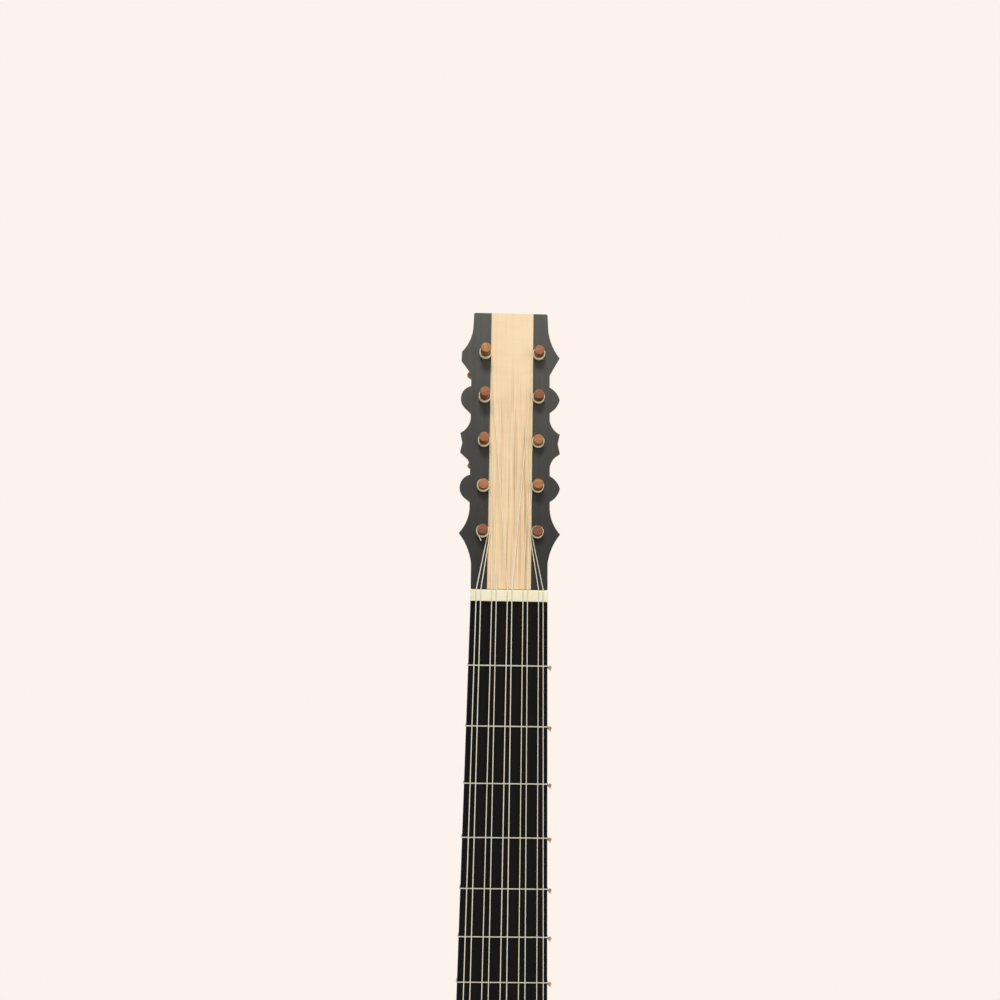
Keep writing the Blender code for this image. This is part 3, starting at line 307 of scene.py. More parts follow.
def neck_section(z):
    """The neck's (x, y) profile from the bass edge, round the back, to the treble edge."""
    half = neck_half_width(z)
    depth = neck_depth(z) - NECK_FRONT
    power = 2 / between(NECK_ROUNDNESS, HEEL_ROUNDNESS, min(heel_share(z), 1.0))
    points = []
    for angle in spread(0.0, math.pi, NECK_PROFILE_STEPS):
        side = -math.copysign(abs(math.cos(angle)) ** power, math.cos(angle))
        points.append((half * side, NECK_FRONT + depth * abs(math.sin(angle)) ** power))
    return points


# Outlines
def arc_points(start, end, sag):
    """Points after start, up to end, on an arc that leans sag to the left of the chord."""
    if sag == 0:
        return [end]
    chord = Vector(end) - Vector(start)
    length = chord.length
    along = chord / length
    across = Vector((-along.y, along.x))
    half_angle = 2 * math.atan(2 * sag / length)
    radius = length / (2 * math.sin(half_angle))
    steps = max(2, math.ceil(abs(2 * half_angle) / ARC_STEP))
    middle = (Vector(start) + Vector(end)) / 2
    points = []
    for angle in spread(-half_angle, half_angle, steps)[1:]:
        rise = radius * (math.cos(angle) - math.cos(half_angle))
        point = middle + along * radius * math.sin(angle) + across * rise
        points.append((point.x, point.y))
    return points


def lobe(middle, waist, horn, pointed):
    start = (middle - LOBE_SPAN, waist, 0)
    if pointed:
        return [start, (middle, horn, LOBE_BULGE), (middle + LOBE_SPAN, waist, LOBE_BULGE)]
    return [start, (middle + LOBE_SPAN, waist, horn - waist)]


def head_edge(foot, side):
    """One side of the head as (across, up), from its foot to its top corner."""
    waist = HEAD_WAIST_WIDTH / 2
    horn = HEAD_HORN_WIDTH / 2
    notch = HEAD_NOTCH_WIDTH / 2
    foot_half = NUT_WIDTH / 2
    low, lower_lobe, middle, upper_lobe, top = [peg_height(row) - LOBE_DROP for row in range(PEG_ROWS)]
    pointed = side > 0
    blunt = 0.0 if pointed else CROWN_HORN_BLUNT
    crown = top - CROWN_HORN_DROP
    keys = [
        (foot, foot_half, 0),
        (low - FOOT_COVE, foot_half, 0),
        (low, horn, -COVE_SAG),
        (low + HORN_COVE, waist, -COVE_SAG),
        *lobe(lower_lobe, waist, horn, pointed),
        (middle - HORN_COVE, waist, 0),
        (middle - HORN_SPREAD, horn, -COVE_SAG),
        (middle, notch, 0),
        (middle + HORN_SPREAD, horn, 0),
        (middle + HORN_COVE, waist, -COVE_SAG),
        *lobe(upper_lobe, waist, horn, pointed),
        (crown - CROWN_HORN_RISE, waist, 0),
        (crown - blunt, horn, 0),
        (crown + blunt + GAP, horn - GAP, 0),
        (top + SHOULDER_SPAN, HEAD_SHOULDER_WIDTH / 2, -COVE_SAG),
        (HEAD_LENGTH - TOP_CORNER, HEAD_TOP_WIDTH / 2, 0),
        (HEAD_LENGTH, HEAD_TOP_WIDTH / 2 - TOP_CORNER, 0.3 * TOP_CORNER),
    ]
    points = [keys[0][:2]]
    for key, following in zip(keys, keys[1:]):
        points += arc_points(key[:2], following[:2], following[2])
    return [(side * half, up) for up, half in points]


def strip_edge(height, side, seam):
    return strip_centre(height) + side * (STRIP_WIDTH / 2 + seam)


def offset_line(points, distance):
    """The open line of 2-D points, moved sideways to the right of its direction."""
    moved = []
    last = len(points) - 1
    for index, (x, y) in enumerate(points):
        before = points[max(index - 1, 0)]
        after = points[min(index + 1, last)]
        along = Vector((after[0] - before[0], after[1] - before[1])).normalized()
        moved.append((x + along.y * distance, y - along.x * distance))
    return moved


def body_edge():
    """The treble half of the body's outline as (x, z), from the neck round to the tail."""
    flat = NECK_WIDTH_BODY / 2 + GAP
    upper = Vector((UPPER_BOUT / 2, UPPER_BOUT_AT))
    waist = Vector((WAIST / 2, WAIST_AT))
    lower = Vector((LOWER_BOUT / 2, LOWER_BOUT_AT))
    shoulder = Vector((flat, 0.0))
    tail = Vector((0.0, BODY_LENGTH))
    to_waist = Vector((0.0, (WAIST_AT - UPPER_BOUT_AT) * WAIST_FULLNESS))
    to_lower = Vector((0.0, (LOWER_BOUT_AT - WAIST_AT) * WAIST_FULLNESS))
    stretches = [
        (shoulder, shoulder + Vector(((upper.x - flat) * SHOULDER_FULLNESS, 0.0)),
         upper - Vector((0.0, UPPER_BOUT_AT * SHOULDER_FULLNESS)), upper),
        (upper, upper + to_waist, waist - to_waist, waist),
        (waist, waist + to_lower, lower - to_lower, lower),
        (lower, lower + Vector((0.0, (BODY_LENGTH - LOWER_BOUT_AT) * TAIL_FULLNESS)),
         tail + Vector((lower.x * TAIL_FULLNESS, 0.0)), tail),
    ]
    points = [(0.0, 0.0)]
    for (start, leave, arrive, end), steps in zip(stretches, OUTLINE_STEPS):
        for point in interpolate_bezier(start, leave, arrive, end, steps)[:-1]:
            points.append((point.x, point.y))
    points.append((tail.x, tail.y))
    return [(x, BODY_TOP - down) for x, down in points]


def inner_edge(inset):
    return offset_line(body_edge(), inset)


def from_x_to_x(points, top_x, tail_x):
    """The stretch of a half outline from top_x on its top to tail_x on its tail."""
    kept = list(points)
    while kept[1][0] < top_x + SAME_PLACE:
        kept.pop(0)
    share = (top_x - kept[0][0]) / (kept[1][0] - kept[0][0])
    kept[0] = (top_x, between(kept[0][1], kept[1][1], share))
    while kept[-2][0] < tail_x + SAME_PLACE:
        kept.pop()
    share = (tail_x - kept[-1][0]) / (kept[-2][0] - kept[-1][0])
    kept[-1] = (tail_x, between(kept[-1][1], kept[-2][1], share))
    return kept


def mirrored(points):
    return [(-x, z) for x, z in points]


def whole_outline(half):
    return half + mirrored(half[-2:0:-1])


def band_outline(start_x, outset, inset):
    """A band that follows the body's whole edge, from one side of the neck to the other."""
    outer = from_x_to_x(inner_edge(outset), start_x, 0.0)
    inner = from_x_to_x(inner_edge(inset), start_x, 0.0)
    return outer + mirrored(outer[-2::-1]) + mirrored(inner) + inner[-2::-1]


def circle(centre, radius, sides):
    return [polar(centre, radius, angle) for angle in round_angles(sides)]


# Meshes


def finish_bmesh(name, bm, coat, sharp=None, placed=None):
    """Make the mesh an object; edges steeper than sharp, in degrees, stay sharp."""
    bmesh.ops.recalc_face_normals(bm, faces=bm.faces)
    mesh = bpy.data.meshes.new(name)
    bm.to_mesh(mesh)
    bm.free()
    mesh.shade_smooth()
    if sharp is not None:
        mesh.set_sharp_from_angle(angle=math.radians(sharp))
    made = bpy.data.objects.new(name, mesh)
    bpy.context.scene.collection.objects.link(made)
    if placed is not None:
        made.matrix_world = placed
    mesh.materials.append(coat)
    return made


def moved_loop(loop, distance, seam_points):
    """The closed loop moved to the left of its direction; its last points, on a seam, only along Z."""
    moved = []
    for index, here in enumerate(loop):
        before, after = loop[index - 1], loop[(index + 1) % len(loop)]
        coming = (Vector(here) - Vector(before)).normalized()
        going = (Vector(after) - Vector(here)).normalized()
        along = (coming + going).normalized()
        reach = distance / max(along.dot(going), MITRE_LIMIT)
        sideways = 0.0 if index >= len(loop) - seam_points else along.y * reach
        moved.append((here[0] - sideways, here[1] + along.x * reach))
    return moved


def inner_side(loop):
    """1 where the loop's inside lies to its left, and -1 where it lies to its right."""
    pairs = zip(loop, loop[1:] + loop[:1])
    return math.copysign(1, sum(x * other_z - other_x * z for (x, z), (other_x, other_z) in pairs))


def add_plate(bm, loops, near, far, rounded=0.0, seam_points=0):
    """A flat piece with the closed (x, z) loops: its outline, with rounded edges, and the holes."""
    turns = spread(0.0, QUARTER_TURN, ROUNDING_STEPS) if rounded else [QUARTER_TURN]
    levels = [(rounded * (1 - math.sin(turn)), near + rounded * (1 - math.cos(turn)))
              for turn in turns]
    levels += [(inset, far - (y - near)) for inset, y in reversed(levels)]
    outline, holes = loops[0], loops[1:]
    side = inner_side(outline)
    flat = [moved_loop(outline, side * levels[0][0], seam_points)] + holes
    layers = []
    for inset, y in levels:
        drawn = [moved_loop(outline, side * inset, seam_points)] + holes
        layers.append([bm.verts.new((x, y, z)) for loop in drawn for x, z in loop])
    for triangle in tessellate_polygon([[Vector((x, z, 0.0)) for x, z in loop] for loop in flat]):
        for layer in (layers[0], layers[-1]):
            bm.faces.new([layer[index] for index in triangle])
    start = 0
    for loop in loops:
        count = len(loop)
        for index in range(count):
            here = start + index
            other = start + (index + 1) % count
            for front, rear in zip(layers, layers[1:]):
                bm.faces.new((front[here], front[other], rear[other], rear[here]))
        start += count


def join_flat_faces(bm):
    """Join the triangles of the flat faces into few large ones, which shade evenly."""
    bmesh.ops.recalc_face_normals(bm, faces=bm.faces)
    flat = [edge for edge in bm.edges
            if all(abs(face.normal.y) > 0.999 for face in edge.link_faces)]
    bmesh.ops.dissolve_limit(bm, angle_limit=math.radians(0.5), verts=[], edges=flat)


def plate(name, loops, near, far, coat, rounded=0.0, seam_points=0, placed=None):
    bm = bmesh.new()
    add_plate(bm, loops, near, far, rounded, seam_points)
    if rounded:
        join_flat_faces(bm)
    made = finish_bmesh(name, bm, coat, SHARP_PLATE, placed)
    if rounded:
        even = made.modifiers.new("even_shading", "WEIGHTED_NORMAL")
        even.keep_sharp = True
    return made


def stitch(bm, near, far):
    """Join two rings of corners with a strip of faces."""
    for index in range(len(near)):
        other = (index + 1) % len(near)
        bm.faces.new((near[index], near[other], far[other], far[index]))


def add_shell(bm, rings):
    """A closed skin over the rings."""
    layers = [[bm.verts.new(point) for point in ring] for ring in rings]
    for near, far in zip(layers, layers[1:]):
        stitch(bm, near, far)
    bm.faces.new(layers[0][::-1])
    bm.faces.new(layers[-1])


def shell(name, rings, coat, sharp, placed=None):
    bm = bmesh.new()
    add_shell(bm, rings)
    return finish_bmesh(name, bm, coat, sharp, placed)


def smooth_line(points, steps):
    """A curve that passes through every point, with the given steps between neighbours."""
    line = []
    last = len(points) - 1
    for index in range(last):
        a = points[max(index - 1, 0)]
        b, c = points[index], points[index + 1]
        d = points[min(index + 2, last)]
        for step in range(steps):
            t = step / steps
            line.append(0.5 * ((2 * b) + (c - a) * t + (2 * a - 5 * b + 4 * c - d) * t * t
                               + (3 * b - a - 3 * c + d) * t ** 3))
    return line + [points[-1]]


def cord_rings(points, radii, sides, closed=False):
    points = [Vector(point) for point in points]
    last = len(points) - 1
    across = None
    rings = []
    for index, point in enumerate(points):
        before, after = max(index - 1, 0), min(index + 1, last)
        if closed:
            before, after = index - 1, (index + 1) % len(points)
        along = (points[after] - points[before]).normalized()
        if across is None:
            across = along.orthogonal().normalized()
        across = (across - along * across.dot(along)).normalized()
        other = along.cross(across)
        radius = radii[index]
        rings.append([point + radius * (math.cos(angle) * across + math.sin(angle) * other)
                      for angle in round_angles(sides)])
    return rings


def add_cord(bm, points, radii):
    """A round cord through the points, with its own radius at each of them."""
    add_shell(bm, cord_rings(points, radii, CORD_SIDES))


def add_closed_cord(bm, points, radius, sides=CORD_SIDES):
    """A round cord through the points and back to the first, without ends."""
    rings = cord_rings(points, [radius] * len(points), sides, True)
    rings = [[bm.verts.new(corner) for corner in ring] for ring in rings]
    first, final = rings[0], rings[-1]
    turn = min(range(sides), key=lambda shift: (final[0].co - first[shift].co).length)
    for ring, following in zip(rings, rings[1:] + [first[turn:] + first[:turn]]):
        stitch(bm, ring, following)


def cord(name, points, radius, coat):
    bm = bmesh.new()
    add_cord(bm, points, [radius] * len(points))
    return finish_bmesh(name, bm, coat, 60)


# Materials
NO_SHIFT = (0.0, 0.0, 0.0)
BLACK = (0.0, 0.0, 0.0)
AGED_GUT = (0.93, 0.83, 0.57)


class Nodes:
    """A node tree with short calls for its nodes."""

    def __init__(self, tree):
        self.tree = tree

    def node(self, kind, inputs=None, **settings):
        made = self.tree.nodes.new(kind)
        for name, value in settings.items():
            setattr(made, name, value)
        for name, value in (inputs or {}).items():
            self.put(made.inputs[name], value)
        return made

    def put(self, socket, value):
        if isinstance(value, bpy.types.NodeSocket):
            self.tree.links.new(value, socket)
        else:
            socket.default_value = value

    def sums(self, operation, first, second=0.0):
        return self.node("ShaderNodeMath", {0: first, 1: second}, operation=operation).outputs[0]


class Look(Nodes):
    """A material, with its textures in the piece's own coordinates."""

    def __init__(self, name, roughness, metallic=0.0):
        self.material = bpy.data.materials.new(name)
        self.material.use_nodes = True
        super().__init__(self.material.node_tree)
        self.shader = self.tree.nodes["Principled BSDF"]
        self.fixed("Roughness", roughness)
        self.fixed("Metallic", metallic)
        self.coordinates = self.node("ShaderNodeTexCoord").outputs
        self.place = self.coordinates["Object"]

    def fixed(self, name, value):
        self.shader.inputs[name].default_value = value

    def axis(self, letter, kind="Object"):
        return self.node("ShaderNodeSeparateXYZ", {"Vector": self.coordinates[kind]}).outputs[letter]

    def stretch(self, scale, turn=NO_SHIFT, move=NO_SHIFT):
        inputs = {"Vector": self.place, "Scale": scale, "Rotation": turn, "Location": move}
        return self.node("ShaderNodeMapping", inputs).outputs["Vector"]

    def noise(self, vector, scale, detail=3.0, roughness=0.5, distortion=0.0):
        inputs = {"Vector": vector, "Scale": scale, "Detail": detail, "Roughness": roughness,
                  "Distortion": distortion}
        return self.node("ShaderNodeTexNoise", inputs).outputs["Fac"]

    def grain(self, scale, count, detail=3.0, roughness=0.5, distortion=0.0, **placing):
        """Noise drawn out along each axis whose scale is under 1; count is its spots per metre."""
        return self.noise(self.stretch(scale, **placing), count, detail, roughness, distortion)

    def times(self, first, second):
        return self.sums("MULTIPLY", first, second)

    def levels(self, value, low, high, out_low=0.0, out_high=1.0):
        inputs = {"Value": value, "From Min": low, "From Max": high, "To Min": out_low,
                  "To Max": out_high}
        return self.node("ShaderNodeMapRange", inputs, clamp=True).outputs["Result"]

    def blend(self, share, first, second, kind="MIX"):
        first, second = [(*part, 1.0) if isinstance(part, tuple) else part for part in (first, second)]
        inputs = {0: share, 6: first, 7: second}
        return self.node("ShaderNodeMix", inputs, data_type="RGBA", blend_type=kind).outputs[2]

    def stained(self, base, tint, value, low, high, share=1.0):
        """The base colour, with up to a share of the tint where the value rises from low to high."""
        return self.blend(self.levels(value, low, high, 0.0, share), base, tint)

    def painted_side_shade(self, value, share):
        """Painted shade: darken what doesn't face along local Y, so that the sides look shaded and the lit
        end faces stand out.
        """
        ahead = self.sums("ABSOLUTE", self.axis("Y", "Normal"))
        return self.blend(self.levels(ahead, 0.45, 0.9, share, 1.0), BLACK, value)

    def colour(self, value):
        self.put(self.shader.inputs["Base Color"], value)

    def rough(self, value, low, high, smooth, coarse):
        self.put(self.shader.inputs["Roughness"], self.levels(value, low, high, smooth, coarse))

    def bump(self, height, distance):
        inputs = {"Height": height, "Distance": distance}
        if self.shader.inputs["Normal"].is_linked:
            inputs["Normal"] = self.shader.inputs["Normal"].links[0].from_socket
        self.put(self.shader.inputs["Normal"], self.node("ShaderNodeBump", inputs).outputs["Normal"])

    def coated(self, weight, roughness):
        self.fixed("Coat Weight", weight)
        self.fixed("Coat Roughness", roughness)

    def clear(self, weight, radius):
        """Let light through the surface, by radius in each colour."""
        self.fixed("Subsurface Weight", weight)
        self.fixed("Subsurface Radius", radius)
        self.fixed("Subsurface Scale", 0.5)


def wood_look(name, dark, light, roughness, fibre, turn=NO_SHIFT, move=NO_SHIFT, pores=0.5, coat=0.0,
              shine=0.5, side_shade=0.0, painted_sheen=None):
    """Wood whose grain runs along local Z after the turn; fibre is the streaks per metre.

    The painted sheen is two heights and the share of the colour at each: the colour grows lighter up local
    Z, a painted sheen of the light from above."""
    look = Look(name, roughness)
    placing = {"turn": turn, "move": move}
    streaks = look.grain((1.0, 1.0, 0.035), fibre, 4.0, 0.62, 0.3, **placing)
    clouds = look.grain((1.0, 1.0, 0.25), fibre * 0.06, 3.0, 0.5, 0.6, **placing)
    hollow = look.levels(look.grain((1.0, 1.0, 0.06), fibre * 2.6, 2.0, 0.5, **placing), 0.60, 0.74)
    shaded = look.stained(look.stained(dark, light, streaks, 0.3, 0.7), dark, clouds, 0.3, 0.75, 0.55)
    wood_colour = look.blend(look.times(hollow, pores), shaded, tuple(part * 0.45 for part in dark))
    # Painted shade on the sides that don't face along local Y.
    if side_shade:
        wood_colour = look.painted_side_shade(wood_colour, side_shade)
    # Painted sheen: the colour is multiplied lighter towards the top of local Z.
    if painted_sheen:
        wood_colour = look.blend(1.0, wood_colour, look.levels(look.axis("Z"), *painted_sheen), "MULTIPLY")
    look.colour(wood_colour)
    look.rough(clouds, 0.25, 0.8, roughness - 0.06, roughness + 0.08)
    look.bump(look.sums("SUBTRACT", streaks, look.times(hollow, 0.6)), 0.00003)
    look.fixed("Specular IOR Level", shine)
    if coat:
        look.coated(coat, 0.18)
    return look.material


def maple_look():
    """Pale plain maple whose fine brown and beige streaks grow stronger towards the foot."""
    look = Look("strip_maple", 0.42)
    patchy = look.grain((1.0, 1.0, 0.5), 60, 2.0, 0.5, 0.5)
    growth = look.levels(look.axis("Z"), 0.112, 0.152, 1.0, 0.16)
    strength = look.times(growth, look.levels(patchy, 0.3, 0.65, 0.45, 1.0))
    fine = look.grain((1.0, 0.3, 0.010), 2100, 3.0, 0.6, 0.15)
    broad = look.grain((1.0, 0.3, 0.016), 520, 2.0, 0.5, 0.25, move=(0.37, 0.0, 0.0))
    pink = look.grain((1.0, 1.0, 0.6), 55, 2.0, 0.5, 0.8)
    flame = look.grain((0.22, 1.0, 1.0), 260, 2.0, 0.5, 0.5)
    beige, brown = (0.66, 0.46, 0.255), (0.42, 0.255, 0.125)
    wood = look.stained((0.880, 0.674, 0.420), (0.875, 0.61, 0.39), pink, 0.45, 0.75, 0.4)
    wood = look.stained(wood, beige, flame, 0.4, 0.7, 0.13)
    for streaks, low, high, tint in ((fine, 0.47, 0.59, beige), (broad, 0.545, 0.645, brown)):
        share = look.times(look.levels(streaks, low, high), strength)
        wood = look.blend(look.times(share, 0.85), wood, tint)
    look.colour(wood)
    look.rough(fine, 0.3, 0.7, 0.36, 0.48)
    look.bump(fine, 0.00002)
    return look.material


def ebony_look(name, brown, roughness, shine):
    """Near-black ebony with faint brown streaks and fine open grain."""
    look = Look(name, roughness)
    look.fixed("Specular IOR Level", shine)
    streaks = look.grain((1.0, 1.0, 0.012), 260, 3.0, 0.6, 0.5)
    grain = look.grain((1.0, 1.0, 0.03), 2600, 3.0, 0.6)
    base = look.stained((0.0050, 0.0045, 0.0041), brown, streaks, 0.52, 0.76, 0.9)
    look.colour(look.stained(base, (0.020, 0.017, 0.014), grain, 0.55, 0.75, 0.5))
    look.rough(grain, 0.3, 0.7, roughness - 0.05, roughness + 0.08)
    look.bump(grain, 0.00002)
    return look.material


def bone_look(name, tint):
    look = Look(name, 0.34)
    lines = look.grain((0.06, 1.0, 1.0), 1500)
    cloud = look.noise(look.place, 120)
    base = look.stained(tint, tuple(part * 0.88 for part in tint), lines, 0.35, 0.7, 0.35)
    look.colour(look.stained(base, AGED_GUT, cloud, 0.4, 0.7, 0.4))
    look.rough(cloud, 0.3, 0.7, 0.28, 0.42)
    look.bump(lines, 0.00001)
    look.clear(0.12, (0.002, 0.0015, 0.001))
    return look.material


def gut_look(name, tint, deep, roughness=0.36, aged=None):
    """Twisted gut: pale and slightly clear, with fine slanting strands; aged where it is wound."""
    look = Look(name, roughness)
    wave = {"Vector": look.stretch((1.0, 1.0, 1.0), (0.0, math.radians(35), 0.0)), "Scale": 900,
            "Distortion": 0.6, "Detail": 2.0, "Detail Scale": 1.0}
    strands = look.node("ShaderNodeTexWave", wave, bands_direction="Z").outputs["Fac"]
    patches = look.grain((1.0, 1.0, 0.12), 260, 3.0, 0.55)
    base = look.stained(tint, deep, patches, 0.35, 0.7, 0.8)
    if aged:
        base = look.stained(base, aged, look.axis("Z"), 0.006, 0.034, 0.85)
    look.colour(look.blend(look.times(strands, 0.12), base, deep))
    look.rough(patches, 0.3, 0.7, roughness - 0.06, roughness + 0.1)
    look.bump(strands, 0.00004)
    look.clear(0.15, (0.0012, 0.0009, 0.0006))
    return look.material


def spruce_look():
    """A book-matched spruce table: growth lines that widen from the centre, silk across them."""
    look = Look("soundboard_spruce", 0.36)
    warp = look.grain((1.0, 1.0, 0.10), 22, 2.0)
    moved = look.sums("ADD", look.sums("ABSOLUTE", look.axis("X")), look.times(warp, 0.0035))
    lines = look.sums("SINE", look.times(look.sums("POWER", moved, 0.86), 2 * math.pi * 520))
    late = look.sums("POWER", look.levels(lines, -1.0, 1.0), 2.2)
    fibre = look.grain((1.0, 1.0, 0.03), 1500, 3.0, 0.6)
    silk = look.grain((0.22, 1.0, 1.0), 420, 3.0, 0.6, 0.4)
    cloud = look.grain((1.0, 1.0, 0.5), 9)
    wood = look.blend(look.times(late, 0.62), (0.72, 0.46, 0.205), (0.42, 0.205, 0.070))
    wood = look.stained(wood, (0.60, 0.35, 0.14), fibre, 0.4, 0.75, 0.35)
    wood = look.stained(wood, (0.84, 0.60, 0.32), silk, 0.58, 0.78, 0.30)
    look.colour(look.stained(wood, (0.55, 0.29, 0.105), cloud, 0.35, 0.7, 0.28))
    look.rough(fibre, 0.3, 0.7, 0.32, 0.44)
    look.bump(late, 0.00003)
    look.bump(fibre, 0.00002)
    look.coated(0.25, 0.22)
    return look.material


def parchment_look():
    look = Look("rose_parchment", 0.6)
    fibre = look.noise(look.place, 900, 4.0, 0.65)
    cloud = look.noise(look.place, 130, 3.0, 0.5, 0.5)
    base = look.stained((0.86, 0.73, 0.50), (0.70, 0.52, 0.29), cloud, 0.35, 0.7)
    look.colour(look.stained(base, (0.48, 0.31, 0.15), fibre, 0.5, 0.8, 0.4))
    look.rough(fibre, 0.3, 0.7, 0.5, 0.7)
    look.bump(fibre, 0.00004)
    return look.material


def metal_look(name, roughness, metallic, texture, worn, tints, shine, relief):
    """Worn metal: the texture's numbers, where the wear starts and ends, two tints and roughnesses."""
    look = Look(name, roughness, metallic)
    spots = look.noise(look.place, *texture)
    look.colour(look.stained(*tints, spots, *worn))
    look.rough(spots, 0.3, 0.7, *shine)
    look.bump(spots, relief)
    return look.material


def make_looks():
    along_y = (math.radians(90), 0.0, 0.0)
    looks = {
        # The facings grow lighter up the head: a painted sheen of the light from above.
        "facing": wood_look("facing_ebonised", (0.035, 0.034, 0.030), (0.047, 0.046, 0.041), 0.46, 420,
                            pores=0.4, shine=0.2, painted_sheen=(0.02, 0.17, 0.50, 1.86)),
        "head": wood_look("head_ebonised", (0.034, 0.032, 0.029), (0.056, 0.053, 0.048), 0.48, 420,
                          move=(0.3, 0.0, 0.0), shine=0.25),
        "neck": wood_look("neck_ebonised", (0.014, 0.012, 0.010), (0.028, 0.024, 0.020), 0.38, 420,
                          coat=0.1, shine=0.3),
        "body": wood_look("body_ebonised", (0.017, 0.012, 0.009), (0.048, 0.030, 0.019), 0.30, 300,
                          move=(0.1, 0.2, 0.0), coat=0.12, shine=0.3),
        "maple": maple_look(),
        "board": ebony_look("board_ebony", (0.014, 0.0065, 0.0045), 0.46, 0.07),
        "ebony": ebony_look("trim_ebony", (0.014, 0.009, 0.007), 0.34, 0.35),
        "bone": bone_look("nut_bone", (0.98, 0.93, 0.69)),
        "inlay": bone_look("inlay_bone", (0.85, 0.80, 0.64)),
        "gut": gut_look("string_gut", (0.96, 0.92, 0.82), (0.88, 0.82, 0.68), aged=AGED_GUT),
        "gut_yellow": gut_look("string_gut_yellow", (0.93, 0.91, 0.66), (0.84, 0.81, 0.55),
                               aged=(0.92, 0.84, 0.52)),
        "fret": gut_look("fret_gut", (0.74, 0.71, 0.63), (0.56, 0.52, 0.44)),
        "knot": gut_look("knot_gut", (0.64, 0.48, 0.28), (0.34, 0.22, 0.105), 0.42),
        "spruce": spruce_look(),
        "inner": wood_look("inner_spruce", (0.55, 0.36, 0.19), (0.74, 0.54, 0.32), 0.6, 500, pores=0.2),
        "parchment": parchment_look(),
        "gilt": metal_look("rose_gilding", 0.34, 1.0, (700, 3.0, 0.6), (0.45, 0.75),
                           ((0.80, 0.53, 0.19), (0.45, 0.25, 0.09)), (0.28, 0.5), 0.00003),
        "iron": metal_look("nail_iron", 0.5, 0.9, (1200, 4.0, 0.6), (0.4, 0.7),
                           ((0.16, 0.15, 0.14), (0.20, 0.09, 0.05)), (0.4, 0.7), 0.00005),
    }
    peg_tints = [
        ((0.27, 0.102, 0.036), (0.56, 0.262, 0.098)),
        ((0.23, 0.080, 0.034), (0.46, 0.192, 0.082)),
        ((0.18, 0.060, 0.029), (0.38, 0.140, 0.062)),
    ]
    for number, (dark, light) in enumerate(peg_tints):
        # Each peg gets painted shade on its sides, so that its end face looks lit.
        looks[f"peg_{number}"] = wood_look(f"peg_wood_{number + 1}", dark, light, 0.42, 700, along_y,
                                           (0.1 * number, 0.0, 0.05), pores=0.5, coat=0.05,
                                           shine=0.25, side_shade=0.55)
    return looks


def stand_for(piece, node, body="guitar"):
    """Put a piece in the place of a solid."""
    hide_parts(node)
    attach(piece, body)


def trim(piece, body="guitar"):
    """An added piece that no single solid stands for."""
    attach(piece, body)


def inlay(name, bm, looks):
    trim(finish_bmesh(name, bm, looks["inlay"], SHARP_PLATE))


# Head
def head_layer(name, loops, near, far, coat, rounded, seam_points=0):
    """A plate of the head, its foot leaned to the level plane that it stands on."""
    piece = plate(name, loops, near, far, coat, rounded, seam_points, HEAD_FRAME)
    lowest = head_foot(0.0)
    for vertex in piece.data.vertices:
        if vertex.co.z < lowest + FOOT_ZONE:
            vertex.co.z = head_foot(vertex.co.y) + vertex.co.z - lowest
    return piece


def slope_sides(item, inset):
    """Draw the head core's sides in towards its back; the peg holes stay straight."""
    past_holes = PEG_OFFSET + PEG_ROOT_DIAMETER / 2 + 0.0018
    for vertex in item.data.vertices:
        if abs(vertex.co.x) > past_holes and vertex.co.y > HEAD_THICKNESS / 2:
            vertex.co.x -= math.copysign(inset, vertex.co.x)


def peg_holes(sides, radius):
    return [circle((peg_side_place(row, side), peg_height(row)), radius, PEG_SIDES)
            for row in range(PEG_ROWS) for side in sides]


def make_head(looks):
    foot = head_foot(0.0)
    hole = min(PEG_TIP_DIAMETER / 2 + PEG_CLEARANCE, PEG_OFFSET - STRIP_WIDTH / 2 - HOLE_TO_SEAM)
    core = head_edge(foot, 1) + head_edge(foot, -1)[::-1]
    core_holes = peg_holes((-1, 1), PEG_ROOT_DIAMETER / 2 + PEG_CLEARANCE)
    piece = head_layer("head_core", [core] + core_holes, FACING_THICKNESS + SKIN_GAP, HEAD_THICKNESS,
                       looks["head"], CORE_ROUNDING)
    slope_sides(piece, HEAD_BACK_INSET)
    stand_for(piece, "peghead")
    for side, name in SIDES:
        outline = head_edge(foot, side)
        outline += [(strip_edge(up, side, SEAM), up) for up in (HEAD_LENGTH, foot)]
        piece = head_layer(f"facing_{name}", [outline] + peg_holes((side,), hole), 0.0,
                           FACING_THICKNESS, looks["facing"], FACING_ROUNDING, 2)
        stand_for(piece, f"head_facing_{name}")
    corners = ((-1, foot), (1, foot), (1, HEAD_LENGTH), (-1, HEAD_LENGTH))
    strip = [(strip_edge(up, side, 0), up) for side, up in corners]
    piece = head_layer("facing_strip", [strip], 0.0, FACING_THICKNESS, looks["maple"],
                       STRIP_ROUNDING, 4)
    stand_for(piece, "head_facing_centre")


# Pegs
def ellipse_ring(y, half_x, half_z, power=2.0):
    """A ring round Y; a power over 2 makes it fuller, as a flattened leaf is."""
    ring = []
    for angle in round_angles(PEG_SIDES):
        across, up = [math.copysign(abs(part) ** (2 / power), part)
                      for part in (math.cos(angle), math.sin(angle))]
        ring.append((half_x * across, y, half_z * up))
    return ring


